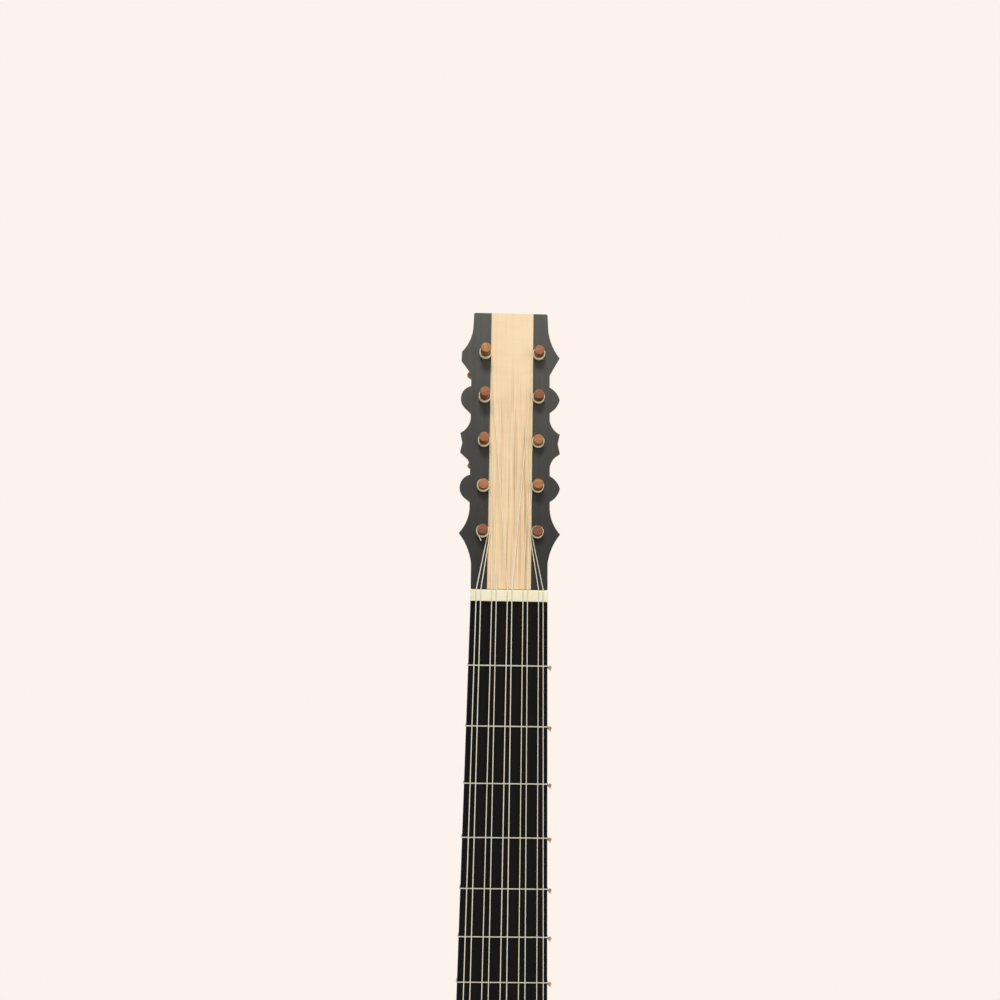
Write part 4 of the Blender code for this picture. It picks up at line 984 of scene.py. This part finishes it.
def peg_rings(tip_length):
    """A turned peg: domed tip, tapered shank, beaded collar and a leaf-shaped thumb piece."""
    tip = PEG_TIP_DIAMETER / 2
    root = PEG_ROOT_DIAMETER / 2
    collar = PEG_COLLAR_DIAMETER / 2
    half = THUMB_WIDTH / 2
    collar_start = HEAD_THICKNESS + PEG_STANDOFF
    collar_end = collar_start + PEG_COLLAR_LENGTH
    turned = [(DOME * (1 - math.cos(angle)) - tip_length, tip - DOME * (1 - math.sin(angle)))
              for angle in spread(0.0, QUARTER_TURN, 6)]
    turned += [(0.0, tip), (HEAD_THICKNESS, root), (collar_start - 0.0006, root)]
    turned += [(between(collar_start, collar_end, share), between(root, collar, math.sin(math.pi * share)))
               for share in spread(0.0, 1.0, 8)]
    turned += [(collar_end + 0.0006, 0.86 * root), (collar_end + 0.0014, 0.86 * root)]
    rings = [ellipse_ring(y, radius, radius) for y, radius in turned]
    leaf = [
        (0.10, 1.02 * root, 0.98 * root, 2.0), (0.16, 0.44 * half, 0.96 * root, 2.1),
        (0.22, 0.60 * half, 0.90 * root, 2.3), (0.30, 0.77 * half, 0.82 * root, 2.5),
        (0.40, 0.92 * half, 0.72 * root, 2.7), (0.52, half, 0.66 * root, 2.8),
        (0.64, 0.97 * half, 0.62 * root, 2.8), (0.74, 0.86 * half, 0.60 * root, 2.7),
        (0.82, 0.68 * half, 0.57 * root, 2.6), (0.88, 0.46 * half, 0.54 * root, 2.4),
        (0.92, 0.24 * half, 0.50 * root, 2.1), (0.935, 0.0016, 0.0015, 2.0),
        (0.945, 0.0017, 0.0017, 2.0), (0.965, 0.0021, 0.0021, 2.0), (0.985, 0.0017, 0.0017, 2.0),
        (0.998, 0.0007, 0.0007, 2.0),
    ]
    for share, half_x, half_z, power in leaf:
        rings.append(ellipse_ring(collar_end + share * THUMB_LENGTH, half_x, half_z, power))
    return rings


def make_pegs(looks):
    sets = (
        (-1, "bass", BASS_TIP_LENGTHS, BASS_THUMB_TURNS, (2, 0, 1, 1, 0)),
        (1, "treble", TREBLE_TIP_LENGTHS, TREBLE_THUMB_TURNS, (2, 0, 0, 2, 1)),
    )
    for side, side_name, tips, turns, tints in sets:
        for row in range(PEG_ROWS):
            name = f"peg_{side_name}_{PEG_ROWS - row}"
            place = Matrix.Translation((peg_side_place(row, side), 0.0, peg_height(row)))
            turned = Matrix.Rotation(math.radians(turns[row]), 4, "Y")
            piece = shell(name + "_turned", peg_rings(tips[row]), looks[f"peg_{tints[row]}"], 50,
                          HEAD_FRAME @ place @ turned)
            stand_for(piece, name, name + "_body")


# Strings
def string_place(number, pitch, spacing, shift):
    course, second = divmod(number, 2)
    return shift + (course - (COURSES - 1) / 2) * pitch + (second - 0.5) * spacing


def nut_place(number):
    return string_place(number, COURSE_PITCH_NUT, PAIR_SPACING_NUT, STRING_SHIFT_NUT)


def bridge_place(number):
    return string_place(number, COURSE_PITCH_BRIDGE, PAIR_SPACING_BRIDGE, STRING_SHIFT_BRIDGE)


def string_peg(number):
    if number < COURSES:
        return number, -1
    return 2 * COURSES - 1 - number, 1


def winding(row, side, target, radius):
    """The turns round a peg, from the cut end to the point where the string leaves."""
    reach = PEG_TIP_DIAMETER / 2 + radius + SKIN_GAP
    centre = Vector((peg_side_place(row, side), peg_height(row)))
    inward = Vector((-side * (target[0] - centre.x), target[1] - centre.y))
    leave = math.atan2(inward.y, inward.x) + math.acos(reach / inward.length)
    start = TAIL_DIRECTION + 2 * math.pi * WINDING_TURNS
    pitch = 2 * radius + WINDING_GAP
    lowest = radius + GAP
    steps = math.ceil((start - leave) / (2 * math.pi) * TURN_POINTS)
    points = []
    for step in range(steps + 1):
        angle = between(start, leave, step / steps)
        lift = lowest + pitch * (angle - leave) / (2 * math.pi)
        across = centre.x - side * reach * math.cos(angle)
        points.append(Vector((across, -lift, centre.y + reach * math.sin(angle))))
    tangent = Vector((-side * math.sin(start), 0.0, -math.cos(start)))
    tail = CUT_TAIL if (row, side) == (0, -1) else LOOSE_END
    return [points[0] - tangent * tail] + points


def passing_place(row, side, leave, target, radius):
    height = peg_height(row - 1)
    share = (leave[1] - height) / (leave[1] - target[1])
    straight = between(leave[0], target[0], share)
    room = WINDING_RADIUS_OUT + STRING_CLEARANCE + radius
    limit = peg_side_place(row - 1, side) - side * room
    return min(straight * side, limit * side) * side, height


def tie_points(number, radius):
    """Through the bridge's hole, back over its top, and in a hitch round the string in front."""
    x = bridge_place(number)
    front, rear = -SCALE_LENGTH, BRIDGE_REAR
    top = BRIDGE_TOP - radius - TOUCH_GAP
    level = -STRING_HEIGHT_BRIDGE
    points = (
        (0.0, level, front + 0.004), (0.0, level, front),
        (0.0, level, rear + 0.001), (0.0, level, rear - 0.0002),
        (0.0002, level - 0.0007, rear - 0.0006 - radius),
        (0.0005, top + 0.0005, rear - 0.0004), (0.0007, top, rear + 0.0007),
        (0.0011, top, front - 0.006), (0.0013, top, front - 0.0008),
        (0.0013, top + 0.0007, front + 0.0007), (0.0009, level + 0.0004, front + 0.0013),
        (0.0, level + 2.1 * radius, front + 0.0015),
        (-0.0009, level + 0.0003, front + 0.0017), (-0.0008, level - 0.0004, front + 0.0020),
        (0.0, level - 2.2 * radius, front + 0.0022), (0.0009, level - 0.0004, front + 0.0024),
        (0.0011, level + 0.0003, front + 0.0027), (0.0015, level + 0.0008, front + 0.0033),
    )
    return smooth_line([Vector((x + across, y, z)) for across, y, z in points], 6)


def string_route(number):
    radius = STRING_DIAMETERS[number // 2] / 2
    row, side = string_peg(number)
    nut_back = Vector((nut_place(number), -STRING_HEIGHT_NUT, NUT_LENGTH))
    nut_in_head = HEAD_FRAME.inverted() @ nut_back
    target = (nut_in_head.x, nut_in_head.z)
    inner = (peg_side_place(row, side) - side * PEG_TIP_DIAMETER / 2, peg_height(row))
    by_the_way = []
    if row > 0:
        across, height = passing_place(row, side, inner, target, radius)
        share = (inner[1] - height) / (inner[1] - target[1])
        lift = between(radius + GAP, -nut_in_head.y, share)
        by_the_way = [Vector((across, -lift, height))]
        target = (across, height)
    head_points = winding(row, side, target, radius) + by_the_way
    points = [HEAD_FRAME @ point for point in head_points]
    nut_middle = Vector((nut_place(number), -STRING_HEIGHT_NUT - TOUCH_GAP, NUT_LENGTH * 0.5))
    points += [nut_back, nut_middle, Vector((nut_place(number), -STRING_HEIGHT_NUT, 0.0))]
    return points + tie_points(number, radius)


def make_strings(looks):
    for number in range(2 * COURSES):
        radius = STRING_DIAMETERS[number // 2] / 2
        coat = looks["gut_yellow"] if number == YELLOW_STRING else looks["gut"]
        piece = cord(f"gut_string_{number + 1:02d}", string_route(number), radius, coat)
        stand_for(piece, f"string_{number + 1:02d}")


# Neck, nut and frets
def make_neck(looks):
    rings = []
    front = FINGERBOARD_THICKNESS + SKIN_GAP
    for z in spread(NUT_LENGTH, BODY_TOP + TOUCH_GAP, NECK_STEPS):
        quarter = neck_half_width(z) * 0.5
        ring = [(x, max(y, front), z) for x, y in neck_section(z)]
        rings.append(ring + [(quarter, front, z), (-quarter, front, z)])
    stand_for(shell("neck_shaft", rings, looks["neck"], 45), "neck")


def nut_slots():
    return [(nut_place(number), STRING_DIAMETERS[number // 2] / 2 + 0.00008)
            for number in range(2 * COURSES)]


def soft_top(top, start, end, rounding, steps):
    """The (y, z) points over a block's top, from start to end along Z, both edges rounded."""
    way = math.copysign(rounding, end - start)
    quarter = spread(0.0, QUARTER_TURN, steps)
    points = [(top + rounding * (1 - math.sin(angle)), start + way * (1 - math.cos(angle)))
              for angle in quarter]
    return points + [(top + rounding * (1 - math.cos(angle)), end - way * (1 - math.sin(angle)))
                     for angle in quarter]


def make_nut(looks):
    """A bone nut: a level top with soft edges, and a round slot for each string."""
    half = NUT_WIDTH / 2
    stations = {-half, NUT_END_INSET - half, half - NUT_END_INSET, half}
    for middle, radius in nut_slots():
        for angle in spread(-QUARTER_TURN, QUARTER_TURN, 12):
            stations.add(middle + 1.02 * radius * math.sin(angle))
    rings = []
    for x in sorted(stations):
        lowest = None
        for middle, radius in nut_slots():
            if abs(x - middle) < radius:
                lowest = -STRING_HEIGHT_NUT + math.sqrt(radius ** 2 - (x - middle) ** 2)
        inset = NUT_END_INSET if abs(abs(x) - half) < SAME_PLACE else 0.0
        foot = FINGERBOARD_THICKNESS - inset
        top = soft_top(inset - NUT_HEIGHT, inset, NUT_LENGTH - inset, NUT_ROUNDING, 7)
        profile = [(foot, inset), (NUT_ROUNDING - NUT_HEIGHT, inset)] + top[1:]
        profile.append((foot, NUT_LENGTH - inset))
        rings.append([(x, y if lowest is None else max(y, lowest), z) for y, z in profile])
    stand_for(shell("nut_bone", rings, looks["bone"], 50), "nut")


def fret_line(number, diameter):
    """The fret's path from its knot, over the board and round the neck, back to the knot."""
    z = fret_z(number)
    stand_off = diameter / 2 + TOUCH_GAP
    half = neck_half_width(z)
    beside = half + stand_off
    corner = [(beside, 0.0004)]
    corner += [(half + stand_off * math.cos(angle), -stand_off * math.sin(angle))
               for angle in spread(0.0, QUARTER_TURN, 6)[1:-1]]
    around = offset_line(neck_section(z), -stand_off)[2:-2]
    level = corner + mirrored(corner[::-1]) + [(-beside, 0.0022)] + around
    ends = ((0.0036, 0.0004), (0.0020, 0.0007), (KNOT_PLACE_Y + 0.0001, 0.0008))
    line = [Vector((beside, KNOT_PLACE_Y, z - 0.0006))]
    line += [Vector((x, y, z)) for x, y in level]
    return line + [Vector((beside, y, z - drop)) for y, drop in ends]


def knot_lines(number):
    """A gut knot at the treble edge: one closed overhand turn, and its cut end."""
    z = fret_z(number) - KNOT_DROP
    x = neck_half_width(fret_z(number)) + KNOT_RING + KNOT_SWING + KNOT_GUT + GAP / 4
    turns = []
    for angle in round_angles(KNOT_STEPS):
        radius = KNOT_RING + KNOT_SWING * math.cos(3 * angle)
        across, up = polar((x, z), radius, 2 * angle + KNOT_TURN)
        turns.append(Vector((across, KNOT_PLACE_Y + KNOT_HALF_DEPTH * math.sin(3 * angle), up)))
    end = [turns[0], Vector((x + 0.00042, KNOT_PLACE_Y, z - 0.0015)),
           Vector((x + 0.00055, KNOT_PLACE_Y + 0.0002, z - 0.0020))]
    return turns, end


def make_frets(looks):
    for number in range(1, TIED_FRETS + 1):
        share = (number - 1) / (TIED_FRETS - 1)
        diameter = between(FRET_DIAMETER_FIRST, FRET_DIAMETER_LAST, share)
        piece = cord(f"gut_fret_{number}", fret_line(number, diameter), diameter / 2, looks["fret"])
        stand_for(piece, f"tied_fret_{number}")
        bm = bmesh.new()
        turns, end = knot_lines(number)
        add_closed_cord(bm, turns, KNOT_GUT)
        line = smooth_line(end, 6)
        add_cord(bm, line, [KNOT_GUT * 0.9] * len(line))
        trim(finish_bmesh(f"fret_knot_{number}", bm, looks["knot"], 60))


# Body
def make_soundboard(looks):
    neck_half = NECK_WIDTH_BODY / 2
    half = [(0.0, BODY_TOP), (neck_half, BODY_TOP)]
    half += from_x_to_x(inner_edge(BINDING_WIDTH + TOUCH_GAP), neck_half, 0.0)
    hole = circle(ROSE_CENTRE, SOUNDHOLE_DIAMETER / 2, HOLE_SIDES)
    piece = plate("soundboard_table", [whole_outline(half), hole], 0.0, SOUNDBOARD_THICKNESS,
                  looks["spruce"])
    stand_for(piece, "soundboard")
    start = neck_half + GAP
    edge = plate("edge_binding", [band_outline(start, 0.0, BINDING_WIDTH)], -0.00002,
                 SOUNDBOARD_THICKNESS, looks["ebony"], BINDING_ROUNDING)
    stand_for(edge, "binding")
    lines = (("outer", 0.0030, 0.0036, "inlay", "bone"), ("dark", 0.0036, 0.0042, "ebony", "ebony"),
             ("inner", 0.0042, 0.0048, "inlay", "bone"))
    for name, outset, inset, look, slot in lines:
        outline = band_outline(start + 0.001, outset, inset)
        trim(plate(f"purfling_{name}", [outline], -INLAY_LIFT, INLAY_DEPTH, looks[look]))


def ring_loops(inner, outer):
    return [circle(ROSE_CENTRE, radius, RING_SIDES) for radius in (outer, inner)]


def make_rose_ring(looks):
    """An ebony ring with bone lines, lozenges and dots let into it."""
    inner = RING_INNER_DIAMETER / 2
    outer = inner + RING_WIDTH
    middle = (inner + outer) / 2
    piece = plate("rosette_ground", ring_loops(inner, outer), -INLAY_LIFT, 0.0008, looks["ebony"])
    stand_for(piece, "rose_ring")
    bands = bmesh.new()
    for near, far in ((inner, inner + 0.0006), (inner + 0.0011, inner + 0.0014),
                      (outer - 0.0014, outer - 0.0011), (outer - 0.0006, outer)):
        add_plate(bands, ring_loops(near, far), STONE_FRONT, STONE_REAR)
    inlay("rosette_bands", bands, looks)
    stones = bmesh.new()
    for angle in round_angles(LOZENGES):
        centre = polar(ROSE_CENTRE, middle, angle)
        corners = [polar(centre, reach, angle + turn * QUARTER_TURN)
                   for turn, reach in ((1, LOZENGE_HALF_LENGTH), (0, LOZENGE_HALF_WIDTH),
                                       (-1, LOZENGE_HALF_LENGTH), (2, LOZENGE_HALF_WIDTH))]
        add_plate(stones, [corners], STONE_FRONT, STONE_REAR)
        for offset in (-DOT_OFFSET, DOT_OFFSET):
            place = polar(ROSE_CENTRE, middle + offset, angle + math.pi / LOZENGES)
            add_plate(stones, [circle(place, DOT_RADIUS, 10)], STONE_FRONT, STONE_REAR)
    inlay("rosette_lozenges", stones, looks)


def foil(leaves, turn, depth, size):
    """The edge of a pierced opening with round leaves, as a share of its cell at each angle."""
    return lambda angle: size * (1 - depth + depth * abs(math.cos(leaves / 2 * (angle - turn))) ** 0.8)


def add_pierced(bm, cells, opening, to_place, count=48):
    """A sheet in equal cells round the centre, each with an opening; to_place maps it to space."""
    for cell in range(cells):
        edge, hole = [], []
        for angle in round_angles(count):
            reach = 1 / max(abs(math.cos(angle)), abs(math.sin(angle)))
            for ring, radius in ((edge, reach), (hole, opening(angle))):
                across = (cell + 0.5 + 0.5 * radius * math.cos(angle)) / cells
                up = 0.5 + 0.5 * radius * math.sin(angle)
                ring.append(bm.verts.new(to_place(across, up)))
        stitch(bm, edge, hole)


def rose_place(inner, outer, near, far):
    """Map the shares of a turn and of a cell's height to a place on a flat tier or on a wall."""
    def place(across, up):
        x, z = polar(ROSE_CENTRE, between(inner, outer, up), FULL_TURN * across)
        return x, between(near, far, up), z
    return place


def make_rose(looks):
    """A sunken rose of pierced parchment: three tiers with foiled openings and gilt rims."""
    wall = SOUNDHOLE_DIAMETER / 2 - 2 * ROSE_SHEET
    sheet = bmesh.new()
    rims = bmesh.new()
    flange = rose_place(wall, SOUNDHOLE_DIAMETER / 2 + ROSE_FLANGE, RIB_FRONT, RIB_FRONT)
    add_pierced(sheet, 40, lambda angle: 0.0001, flange, 16)
    for tier, wall_cells, cells in ((0, 32, 24), (1, 24, 16), (2, 16, 12)):
        near = RIB_FRONT + tier * ROSE_TIER_DROP
        far = near + ROSE_TIER_DROP
        inner = wall - ROSE_TIER_WIDTH
        add_pierced(sheet, wall_cells, foil(4, 0.0, 0.32, 0.80), rose_place(wall, wall, near, far), 32)
        rims_at = [(wall, near - 0.0002)]
        if tier < ROSE_TIERS - 1:
            add_pierced(sheet, cells, foil(3, QUARTER_TURN, 0.42, 0.86), rose_place(inner, wall, far, far))
        else:
            add_pierced(sheet, cells, foil(2, QUARTER_TURN, 0.45, 0.84),
                        rose_place(ROSE_BOSS, wall, far, far))
            add_pierced(sheet, 6, foil(2, QUARTER_TURN, 0.3, 0.6),
                        rose_place(ROSE_EYE, ROSE_BOSS, far, far))
            rims_at.append((ROSE_BOSS, far - 0.0002))
        rims_at.append((wall - 0.0004, far - 0.0003))
        for radius, y in rims_at:
            ring = [Vector((x, y, z)) for x, z in circle(ROSE_CENTRE, radius, RIM_SIDES)]
            add_closed_cord(rims, ring, RIM_RADIUS, 8)
        wall = inner
    bmesh.ops.remove_doubles(sheet, verts=sheet.verts, dist=WELD)
    rose = finish_bmesh("rose_tracery", sheet, looks["parchment"], 40)
    thick = rose.modifiers.new("thickness", "SOLIDIFY")
    thick.thickness = ROSE_THICKNESS
    thick.offset = 0.0
    thick.solidify_mode = "NON_MANIFOLD"
    stand_for(rose, "rose")
    trim(finish_bmesh("rose_rims", rims, looks["gilt"], 60))


def make_sides_and_back(looks):
    start = NECK_BLOCK_WIDTH / 2 + GAP
    near = SOUNDBOARD_THICKNESS + INLAY_LIFT
    outer = from_x_to_x(body_edge(), start, SKIN_GAP)
    inner = from_x_to_x(inner_edge(RIB_THICKNESS), start, SKIN_GAP)
    for side, name in SIDES:
        outline = outer + inner[::-1]
        outline = outline if side > 0 else mirrored(outline)
        rib = plate(f"bent_rib_{name}", [outline], near, RIB_DEPTH + 0.00025, looks["body"])
        stand_for(rib, f"rib_{name}")
    back = plate("back_plate", [whole_outline(body_edge())], BACK_FRONT, BACK_REAR, looks["body"],
                 BACK_ROUNDING)
    stand_for(back, "back")


def span_at(x, inset):
    """The top and tail of the body's outline at one distance from the centre line."""
    away = max(abs(x), 0.001)
    line = from_x_to_x(inner_edge(inset), away, away)
    return line[0][1], line[-1][1]


def make_stringing(looks):
    """Pale lines let into the back and the sides."""
    lines = bmesh.new()
    near = BACK_REAR - INLAY_DEPTH
    far = BACK_REAR + SKIN_GAP
    for x in (-0.066, -0.033, 0.0, 0.033, 0.066):
        top, tail = span_at(x, 0.0052)
        left, right = x - 0.0004, x + 0.0004
        add_plate(lines, [[(left, tail), (right, tail), (right, top), (left, top)]], near, far)
    for outset in (0.0036, 0.0050):
        add_plate(lines, [band_outline(0.0005, outset, outset + 0.0006)], near, far)
    outline = band_outline(NECK_BLOCK_WIDTH / 2 + GAP + 0.004, -SKIN_GAP, INLAY_DEPTH)
    for y in (0.0290, 0.0600):
        add_plate(lines, [outline], y, y + 0.0008)
    inlay("body_stringing", lines, looks)


def make_button(looks):
    """A turned button: shank, moulded seat, thin neck and round knob."""
    shank = BUTTON_SHANK_DIAMETER / 2
    knob = BUTTON_DIAMETER / 2
    seat = BODY_TAIL
    stations = [(seat + RIB_THICKNESS + TAIL_BLOCK_LENGTH, shank), (seat, shank),
                (seat - 0.0001, 0.72 * knob)]
    for share in spread(0.0, 1.0, 8)[1:-1]:
        stations.append((seat - 0.0001 - 0.0016 * share, knob * (0.72 + 0.08 * math.sin(math.pi * share))))
    stations += [(seat - 0.0020, 0.60 * knob), (seat - 0.0030, 0.50 * knob),
                 (seat - 0.0042, 0.50 * knob)]
    for share in spread(0.0, 1.0, 13)[1:-1]:
        radius = knob * max(0.5 * (1 - share), math.sin(math.pi * share) ** 0.7)
        stations.append((seat - 0.0042 - (BUTTON_LENGTH - 0.0042) * share, radius))
    stations.append((seat - BUTTON_LENGTH - GAP, 0.0006))
    rings = [[(x, y, z) for x, y in circle((0.0, RIB_DEPTH / 2), radius, KNOB_SIDES)]
             for z, radius in stations]
    stand_for(shell("turned_button", rings, looks["ebony"], 50), "end_button")


# Bridge
def make_bridge(looks):
    """A low ebony bridge with soft edges, falling at its ends, and two bone lines on its top."""
    half = BRIDGE_WIDTH / 2
    top_half = BRIDGE_TOP_WIDTH / 2
    front = -SCALE_LENGTH
    base = -0.00002
    slope = spread(half, top_half, 6)[1:-1]
    side = [half, half - BRIDGE_END_INSET] + slope + [top_half]
    rings = []
    for x in [-place for place in side] + side[::-1]:
        share = min(max((half - abs(x)) / (half - top_half), 0.0), 1.0)
        smooth = share * share * (3 - 2 * share)
        height = between(BRIDGE_END_HEIGHT, BRIDGE_HEIGHT, smooth) + GAP
        inset = BRIDGE_END_INSET if abs(abs(x) - half) < SAME_PLACE else 0.0
        start, end = front - inset, BRIDGE_REAR + inset
        top = soft_top(inset - height, start, end, min(BRIDGE_ROUNDING, 0.3 * height), 6)
        rings.append([(x, y, z) for y, z in [(base, start)] + top + [(base, end)]])
    stand_for(shell("bridge_block", rings, looks["ebony"], 45), "bridge")
    lines = bmesh.new()
    reach = top_half - 0.003
    for z in (front - 0.0026, BRIDGE_REAR + 0.0020):
        corners = [(-reach, z), (reach, z), (reach, z + 0.0006), (-reach, z + 0.0006)]
        add_plate(lines, [corners], BRIDGE_TOP - INLAY_LIFT, BRIDGE_TOP + INLAY_DEPTH)
    inlay("bridge_lines", lines, looks)


def scroll_outline(side):
    centre = (BRIDGE_WIDTH / 2 + GAP, -SCALE_LENGTH - BRIDGE_LENGTH / 2 + SCROLL_RADIUS)
    outer, inner = [], []
    for share in spread(0.0, 1.0, SCROLL_STEPS):
        angle = SCROLL_TURN * share - QUARTER_TURN
        radius = SCROLL_RADIUS * (1 - SCROLL_SHRINK * share)
        half = between(SCROLL_WIDTH, SCROLL_TIP_WIDTH, share) / 2
        outer.append(polar(centre, radius + half, angle))
        inner.append(polar(centre, radius - half, angle))
    outline = outer + inner[::-1]
    return outline if side > 0 else mirrored(outline)


def make_moustaches(looks):
    for side, name in SIDES:
        piece = plate(f"scroll_{name}", [scroll_outline(side)], -GAP - SCROLL_THICKNESS, 0.0,
                      looks["ebony"], SCROLL_ROUNDING)
        stand_for(piece, f"moustache_{name}")


def dress_solids(frame, looks):
    """Give the solids that stay in view their own materials."""
    coats = {"fingerboard": "board", "body_fret_11": "ebony", "body_fret_12": "ebony",
             "neck_nail": "iron", "neck_block": "body", "tail_block": "inner"}
    coats |= {f"lining_{face}_{side}": "inner" for face in ("front", "back") for side in ("bass", "treble")}
    coats |= {f"{bar}_{end}": "inner" for bar in ("bar", "back_bar") for end in ("upper", "lower")}
    for name, look in coats.items():
        node = frame["nodes"][name]
        node.data.materials.clear()
        node.data.materials.append(looks[look])


# Floor, light and camera
def make_floor():
    lowest = BODY_TAIL - BUTTON_LENGTH - GAP
    bm = bmesh.new()
    bmesh.ops.create_circle(bm, cap_ends=True, segments=96, radius=1.6)
    floor = finish_bmesh("floor", bm, floor_look())
    floor.location = (0.0, 0.04, lowest)


def floor_look():
    """Paper that fades out towards its rim, into the backdrop."""
    look = Look("floor_paper", 0.9)
    look.fixed("Base Color", (0.93, 0.86, 0.80, 1.0))
    look.fixed("Specular IOR Level", 0.0)
    squares = [look.times(look.axis(letter), look.axis(letter)) for letter in "XY"]
    reach = look.sums("SQRT", look.sums("ADD", *squares))
    look.put(look.shader.inputs["Alpha"], look.levels(reach, 0.7, 1.5, 1.0, 0.0))
    return look.material


def make_world():
    """The backdrop's colour in view and in reflections, and a softer glow that lights the guitar."""
    world = bpy.data.worlds.new("studio")
    bpy.context.scene.world = world
    world.use_nodes = True
    nodes = Nodes(world.node_tree)
    seen = world.node_tree.nodes["Background"]
    nodes.put(seen.inputs["Color"], (*BACKDROP, 1.0))
    nodes.put(seen.inputs["Strength"], 1.0)
    glow = nodes.node("ShaderNodeBackground", {"Color": (1.0, 0.985, 0.965, 1.0), "Strength": 0.42})
    path = nodes.node("ShaderNodeLightPath").outputs
    shown = nodes.sums("MAXIMUM", path["Is Camera Ray"], path["Is Glossy Ray"])
    shown = nodes.sums("MAXIMUM", shown, path["Is Transmission Ray"])
    mix = nodes.node("ShaderNodeMixShader", {0: shown, 1: glow.outputs[0], 2: seen.outputs[0]})
    nodes.put(world.node_tree.nodes["World Output"].inputs["Surface"], mix.outputs[0])


def make_lights():
    for name, place, aim_height, size, power, colour in LIGHTS:
        light = bpy.data.lights.new(name, "AREA")
        light.shape = "DISK"
        light.size = size
        light.energy = power
        light.color = colour
        made = bpy.data.objects.new(name, light)
        bpy.context.scene.collection.objects.link(made)
        made.location = place
        aim = Vector((0.0, 0.0, aim_height))
        made.rotation_euler = (aim - Vector(place)).to_track_quat("-Z", "Y").to_euler()


def make_camera():
    right = Vector((math.cos(CAMERA_YAW), -math.sin(CAMERA_YAW), 0.0))
    forward = Vector((math.sin(CAMERA_YAW), math.cos(CAMERA_YAW), 0.0))
    up = right.cross(forward)
    rolled_right = right * math.cos(CAMERA_ROLL) + up * math.sin(CAMERA_ROLL)
    rolled_up = up * math.cos(CAMERA_ROLL) - right * math.sin(CAMERA_ROLL)
    turned = Matrix((rolled_right, rolled_up, -forward)).transposed().to_4x4()
    turned.translation = CAMERA_PLACE
    camera = bpy.data.cameras.new("camera")
    camera.lens = CAMERA_LENS
    camera.sensor_width = 36.0
    made = bpy.data.objects.new("camera", camera)
    bpy.context.scene.collection.objects.link(made)
    made.matrix_world = turned
    bpy.context.scene.camera = made


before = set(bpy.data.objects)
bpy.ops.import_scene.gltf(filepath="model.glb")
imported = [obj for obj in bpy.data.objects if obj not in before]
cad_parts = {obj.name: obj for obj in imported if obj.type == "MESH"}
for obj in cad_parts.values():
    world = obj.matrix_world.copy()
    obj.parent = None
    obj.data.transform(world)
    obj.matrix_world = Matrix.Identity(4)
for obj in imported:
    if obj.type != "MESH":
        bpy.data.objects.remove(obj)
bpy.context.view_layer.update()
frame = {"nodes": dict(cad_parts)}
make_camera()
make_world()
make_lights()
make_floor()
all_looks = make_looks()
for make in (make_head, make_pegs, make_strings, make_neck, make_nut, make_frets, make_soundboard,
             make_rose_ring, make_rose, make_sides_and_back, make_stringing, make_button, make_bridge,
             make_moustaches):
    make(all_looks)
dress_solids(frame, all_looks)
bpy.context.scene.view_settings.view_transform = "Standard"
